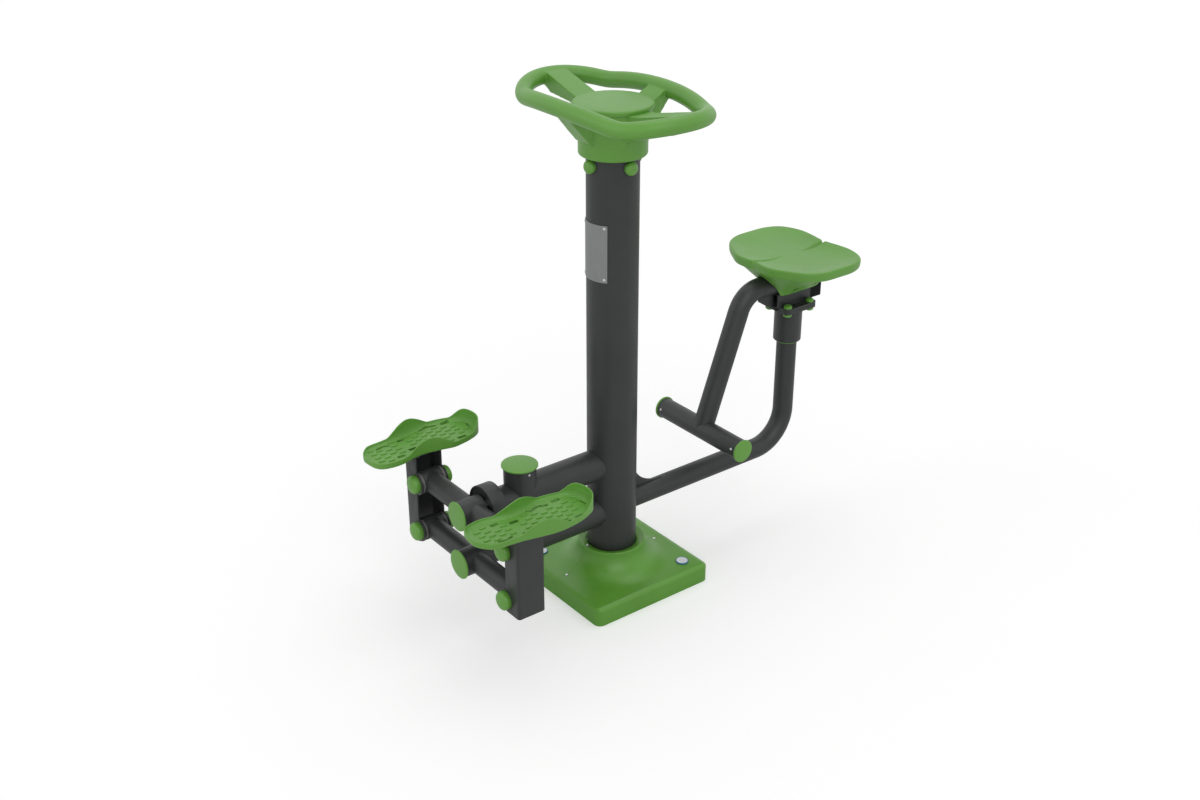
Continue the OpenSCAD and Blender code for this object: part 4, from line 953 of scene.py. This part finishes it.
# each wall's height at its ear, and the shares of the length at its peak, rise and fall
OUTER_WALL, INNER_WALL = (48, 0.49, 0.2, 0.2), (45, 0.5, 0.21, 0.19)
TOE_HEIGHT, TOE_FROM, TOE_RISE = 45, 0.855, 0.13
LIP_R, HOLLOW_W, RIB_R = 1.7, 12, 1.1
FOOT_R, WALL_LOW_Z = 5.5, 6
RIB_ANGLES = (204, 216, 229, 244)
GRIP_L, GRIP_W, GRIP_H, GRIP_PITCH = 18, 6.5, 2.6, 11
DRAIN_W, CHEVRON_W, CHEVRON_SPIN = 11.4, 8.2, 18
# the tray's outline from the heel, as shares of its length and half width
TRAY_SHARES = (
    (0, -0.04), (0.009, -0.48), (0.034, -0.73), (0.077, -0.86), (0.134, -0.92),
    (0.19, -0.935), (0.237, -0.91), (0.309, -0.82), (0.394, -0.745), (0.474, -0.755),
    (0.577, -0.85), (0.677, -0.955), (0.757, -0.92), (0.829, -0.85), (0.9, -0.74),
    (0.955, -0.57), (0.989, -0.3), (1, 0), (0.988, 0.33), (0.949, 0.6), (0.877, 0.78),
    (0.8, 0.9), (0.729, 0.96), (0.64, 1), (0.566, 0.985), (0.494, 0.935), (0.414, 0.857),
    (0.326, 0.766), (0.214, 0.7), (0.134, 0.675), (0.086, 0.6), (0.034, 0.36), (0.008, 0.14))
# place of each hole's middle and its length, in the same shares; a chevron's also has its side
DRAINS = ((0.257, -0.52, 0.07), (0.391, -0.29, 0.075), (0.38, 0.5, 0.06), (0.8, -0.58, 0.08),
          (0.814, 0.7, 0.08))
TOE_SLIT, TOE_SLIT_L, TOE_SLIT_W, TOE_SLIT_SPIN = (0.945, 0.07), 24, 5, 80
CHEVRONS = ((0.214, 0.49, 0.065, 1), (0.643, -0.62, 0.085, -1), (0.654, 0.83, 0.085, 1))


def wall_height(t, side):
    """Height of the tray's wall at a share of its length; side is 1 outside."""
    ear, peak, rise, fall = OUTER_WALL if side > 0 else INNER_WALL
    hump = smooth_step((t - peak + rise) / rise if t < peak else (peak + fall - t) / fall)
    toe = smooth_step((t - TOE_FROM) / TOE_RISE)
    return TRAY_RIM + (ear - TRAY_RIM) * hump ** 0.6 + (TOE_HEIGHT - TRAY_RIM) * toe


def tray_outline():
    """The tray's outline in its own frame: heel at the origin, toe along X."""
    return closed_curve([(x * TRAY_L, y * TRAY_W / 2) for x, y in TRAY_SHARES], 8)


def tray_heights(outline):
    """The wall's height at each point of the outline."""
    return [wall_height(max(0, min(1, p.x / TRAY_L)), p.y) for p in outline]


def slope_at(height, angle):
    """(inset, height) of the wall's hollow side, from its lip at 180 to the floor at 270."""
    a = math.radians(angle)
    drop = height - LIP_R - TRAY_FLOOR
    return 2 * LIP_R + HOLLOW_W * (1 + math.cos(a)), height - LIP_R + drop * math.sin(a)


def tray_skin():
    """Pan with a rounded foot, a thin rounded lip and walls hollowed down to the floor."""
    outer = tray_outline()
    heights = tray_heights(outer)

    def ring(inward, z):
        return [(q.x, q.y, z(h) if callable(z) else z)
                for q, h in zip(inset(outer, inward), heights)]

    rings = [ring(14, 0), ring(FOOT_R, 0)]
    rings += [ring(FOOT_R - r, FOOT_R + z) for r, z in arc((0, 0), FOOT_R, -80, -10, 5)]
    rings += [ring(0, WALL_LOW_Z)]
    rings += [ring(0, lambda h: WALL_LOW_Z + (h - LIP_R - WALL_LOW_Z) * 0.5)]
    for r, z in arc((LIP_R, 0), LIP_R, 180, 0, 8):
        rings.append(ring(r, lambda h, z=z: h - LIP_R + z))
    for angle in range(189, 271, 9):
        spots = [slope_at(h, angle) for h in heights]
        inner = inset(outer, spots[0][0])
        rings.append([(q.x, q.y, z) for q, (_, z) in zip(inner, spots)])
    rings += [ring(2 * LIP_R + HOLLOW_W + 5, TRAY_FLOOR)]
    return loft(rings)


def toe_ribs():
    """Thin ribs along the hollow of the toe, one above another."""
    outer = tray_outline()
    heights = tray_heights(outer)
    parts = []
    for angle in RIB_ANGLES:
        spots = [slope_at(h, angle) for h in heights]
        inner = inset(outer, spots[0][0])
        path = [Vector((q.x, q.y, z)) for q, p, (_, z) in zip(inner, outer, spots)
                if p.x > 0.9 * TRAY_L]
        parts.append(rib_skin(path, RIB_R))
    return parts


def rib_skin(path, radius, sides=8):
    """Round rib along a path, drawn to a point at both ends."""
    rings = []
    last = len(path) - 1
    for k, centre in enumerate(path):
        along = (path[min(k + 1, last)] - path[max(k - 1, 0)]).normalized()
        taper = min(1, 0.15 + 3 * min(k, last - k) / last)
        rings.append(round_ring(centre, along, radius * taper, sides))
    return loft(rings)


def bar_skin(cx, cy, length, width, z0, z1, spin=0, ease=0.7):
    """Low bar with eased upper edges."""
    c, s = math.cos(math.radians(spin)), math.sin(math.radians(spin))
    rings = []
    for inward, z in ((0, z0), (0, z1 - ease), (ease * 0.3, z1 - ease * 0.3), (ease, z1)):
        hl, hw = length / 2 - inward, width / 2 - inward
        corner = min(width * 0.3, hw * 0.9)
        ring = []
        for qx, qy, start in ((1, 1, 0), (-1, 1, 90), (-1, -1, 180), (1, -1, 270)):
            for x, y in arc((qx * (hl - corner), qy * (hw - corner)), corner, start,
                            start + 90, 2):
                ring.append((cx + x * c - y * s, cy + x * s + y * c, z))
        rings.append(ring)
    return loft(rings)


def grip_here(t, s):
    """Whether a place, in shares of length and half width, is in a gripping field."""
    if 0.05 < t < 0.36 and abs(s) < 0.62:
        return True
    if 0.42 < t < 0.56 and -0.5 < s < 0.62:
        return True
    return 0.56 < t < 0.93 and abs(s) < 0.62 and t + abs(s) * 0.2 < 0.98


def grip_places():
    """Middles of the grips: staggered rows that leave room round every hole."""
    step = GRIP_L * 1.3
    room = GRIP_L * 1.1
    for i in range(int(TRAY_L / step) + 1):
        for j in range(-6, 7):
            x = (i + 0.5) * step
            y = (j + i % 2 / 2) * GRIP_PITCH * 2
            t, s = x / TRAY_L, 2 * y / TRAY_W
            near = any(math.hypot((t - d[0]) * TRAY_L, (s - d[1]) * TRAY_W / 2) < room
                       for d in DRAINS + CHEVRONS + (TOE_SLIT,))
            if grip_here(t, s) and not near:
                yield x, y


def drain_cutters():
    """Blocks through the floor, one for each straight hole and two for each chevron."""
    low, high = -2, TRAY_FLOOR + 12
    parts = []
    for t, s, share in DRAINS:
        parts.append(bar_skin(t * TRAY_L, s * TRAY_W / 2, share * TRAY_L, DRAIN_W, low, high))
    t, s = TOE_SLIT
    parts.append(bar_skin(t * TRAY_L, s * TRAY_W / 2, TOE_SLIT_L, TOE_SLIT_W, low, high,
                          TOE_SLIT_SPIN))
    for t, s, share, side in CHEVRONS:
        for m in (1, -1):
            spin = -CHEVRON_SPIN * side * m
            half = share * TRAY_L / 2 * 0.96
            cx = t * TRAY_L + m * half * math.cos(math.radians(spin))
            cy = s * TRAY_W / 2 + m * half * math.sin(math.radians(spin)) + 0.15 * m
            parts.append(bar_skin(cx, cy, share * TRAY_L, CHEVRON_W, low, high, spin))
    return parts


def placed(mesh, name, side):
    """A tray's mesh moved from its own frame to the left (1) or right (-1) pedal."""
    copy = mesh.copy()
    copy.name = name
    for v in copy.vertices:
        v.co = Vector((v.co.x - TRAY_HEEL_X * MM, side * (v.co.y + TRAY_Y * MM),
                       v.co.z + TRAY_Z * MM))
    tidy(copy)
    smooth(copy)
    return copy


def make_trays():
    """Both trays, each as a pan and its grips with the toe's ribs."""
    pan = cut_out(mesh_from("pan", *tray_skin()), drain_cutters())
    grips = [bar_skin(x, y, GRIP_L, GRIP_W, TRAY_FLOOR - 1, TRAY_FLOOR + GRIP_H)
             for x, y in grip_places()]
    bars = mesh_from("grips", *merged(*grips, *toe_ribs()))
    for side, word in ((1, "left"), (-1, "right")):
        body, tray = word + "_pedal", word + "_tray"
        add_piece(tray + "_pan", placed(pan, tray + "_pan", side), body, "green_plastic", tray)
        add_piece(tray + "_grips", placed(bars, tray + "_grips", side), body, "green_plastic")


make_trays()


# Caps

LINK_X, PIVOT_Y = 466.5, 212
LINK_Z = {"upper": 377.5, "lower": 229.7}
CHANNEL_W = 84
PIVOT_CAP_R, PIVOT_CAP_H = 26, 22
HUB_FRONT, HUB_CAP_R, HUB_CAP_H = 45, 41, 6
END_POST_X, END_POST_TOP, END_CAP_R, END_CAP_T, END_CAP_RISE = 312, 463, 50, 3, 4
REST_X, REST_Z, REST_L, REST_CAP_T = 337, 365, 350, 4
REST_CAP_H, REST_CAP_R = 6.5, 33.6
WHEEL_BOLT_Z, WHEEL_CAP_R, WHEEL_CAP_H = 1242, 18.5, 19
FLANGE_X, FLANGE_Y, BOLT_CAP_R, BOLT_CAP_H = (-41, 47), 37.7, 13, 11


def cap_profile(radius, height, edge, dome):
    """Half section of a cap: upright edge, rounded shoulder, slightly domed face."""
    shoulder = height - edge - dome
    chamfer = 0.4
    profile = [(0, 0), (radius - chamfer, 0), (radius, chamfer), (radius, edge)]
    steps = 8
    for k in range(1, steps + 1):
        a = math.radians(80 * k / steps)
        profile.append((radius - shoulder * (1 - math.cos(a)), edge + shoulder * math.sin(a)))
    r0, z0 = profile[-1]
    steps = 6
    for k in range(1, steps + 1):
        t = k / steps
        profile.append((r0 * (1 - t), z0 + (height - z0) * (1 - (1 - t) ** 2)))
    return profile


def aimed(part, place, direction):
    """A part turned from +Z to a direction and moved to its place."""
    turn = Vector(direction).to_track_quat("Z", "Y")
    points, faces = part
    return [tuple(Vector(place) + turn @ Vector(p)) for p in points], faces


def ball_profile(radius, height, sunk):
    """Half section of a ball-like cap that starts a little inside the tube's wall."""
    profile = [(0, -sunk), (radius * 0.9, -sunk), (radius * 0.96, height * 0.2)]
    steps = 8
    for k in range(steps + 1):
        a = math.radians(8 + 82 * k / steps)
        profile.append((radius * math.cos(a) if k < steps else 0,
                        height * 0.28 + height * 0.72 * math.sin(a)))
    return profile


def add_caps(name, replaced, body, profile, spots, steps=72):
    """One piece of equal caps; each spot is a place and the direction it faces."""
    shape = lathe(profile, steps)
    mesh = mesh_from(name, *merged(*[aimed(shape, *spot) for spot in spots]), sharp_deg=50)
    add_piece(name, mesh, body, "cap_plastic", replaced)


def make_pivot_caps():
    """The caps on both sides of the pedals' channels."""
    profile = cap_profile(PIVOT_CAP_R, PIVOT_CAP_H, PIVOT_CAP_H * 0.42, 2.5)
    for side, word in ((1, "left"), (-1, "right")):
        spots = [((-LINK_X + m * CHANNEL_W / 2, side * PIVOT_Y, z), (m, 0, 0))
                 for z in LINK_Z.values() for m in (-1, 1)]
        add_caps(word + "_caps", word + "_pivot_caps", word + "_pedal", profile, spots)


def make_tube_caps():
    """The flat caps on the links' hubs, the end post and the footrest."""
    hub = cap_profile(HUB_CAP_R, HUB_CAP_H, HUB_CAP_H * 0.4, 1.6)
    for word, z in LINK_Z.items():
        spots = [((-LINK_X - HUB_FRONT, 0, z), (-1, 0, 0))]
        add_caps(word + "_cap", word + "_hub_cap", word + "_link", hub, spots, 96)
    end = cap_profile(END_CAP_R, END_CAP_T + END_CAP_RISE, END_CAP_T, END_CAP_RISE * 0.7)
    spots = [((-END_POST_X, 0, END_POST_TOP), (0, 0, 1))]
    add_caps("post_end_cap", "end_post_cap", "frame", end, spots, 96)
    rest = cap_profile(REST_CAP_R, REST_CAP_H, REST_CAP_H * 0.55, REST_CAP_H * 0.15)
    spots = [((REST_X, s * (REST_L / 2 - REST_CAP_T), REST_Z), (0, s, 0)) for s in (-1, 1)]
    add_caps("rest_caps", "footrest_caps", "seat", rest, spots)


def make_bolt_caps():
    """The balls round the post's top and the caps on both ends of the seat's flange bolts."""
    ball = ball_profile(WHEEL_CAP_R, WHEEL_CAP_H, 4)
    spots = [((POST_R * x, POST_R * y, WHEEL_BOLT_Z), (x, y, 0))
             for x, y in ((1, 0), (0, 1), (-1, 0), (0, -1))]
    add_caps("wheel_caps", "wheel_bolt_caps", "frame", ball, spots)
    bolt = ball_profile(BOLT_CAP_R, BOLT_CAP_H, -0.01)
    spots = []
    for x in FLANGE_X:
        for s in (-1, 1):
            place = SWIVEL_X + x, s * FLANGE_Y
            spots.append(((*place, SWIVEL_TOP_Z + 2 * FLANGE_T), (0, 0, 1)))
            spots.append(((*place, SWIVEL_TOP_Z), (0, 0, -1)))
    add_caps("flange_caps", "flange_bolt_caps", "seat", bolt, spots, 48)


def ease_edges(width, *names):
    """Small rounding on the sharp edges of plates and sections."""
    for name in names:
        weld = nodes[name].modifiers.new("weld", "WELD")
        weld.merge_threshold = 0.01 * MM
        bevel = nodes[name].modifiers.new("ease", "BEVEL")
        bevel.width = width * MM
        bevel.segments = 2
        bevel.limit_method = "ANGLE"
        bevel.angle_limit = math.radians(40)
        bevel.harden_normals = False


make_pivot_caps()
make_tube_caps()
make_bolt_caps()
ease_edges(0.8, "left_channel", "right_channel", "seat_bracket", "swivel_sleeve",
           "beam_gusset", "arm_gusset", "bearing_drum")
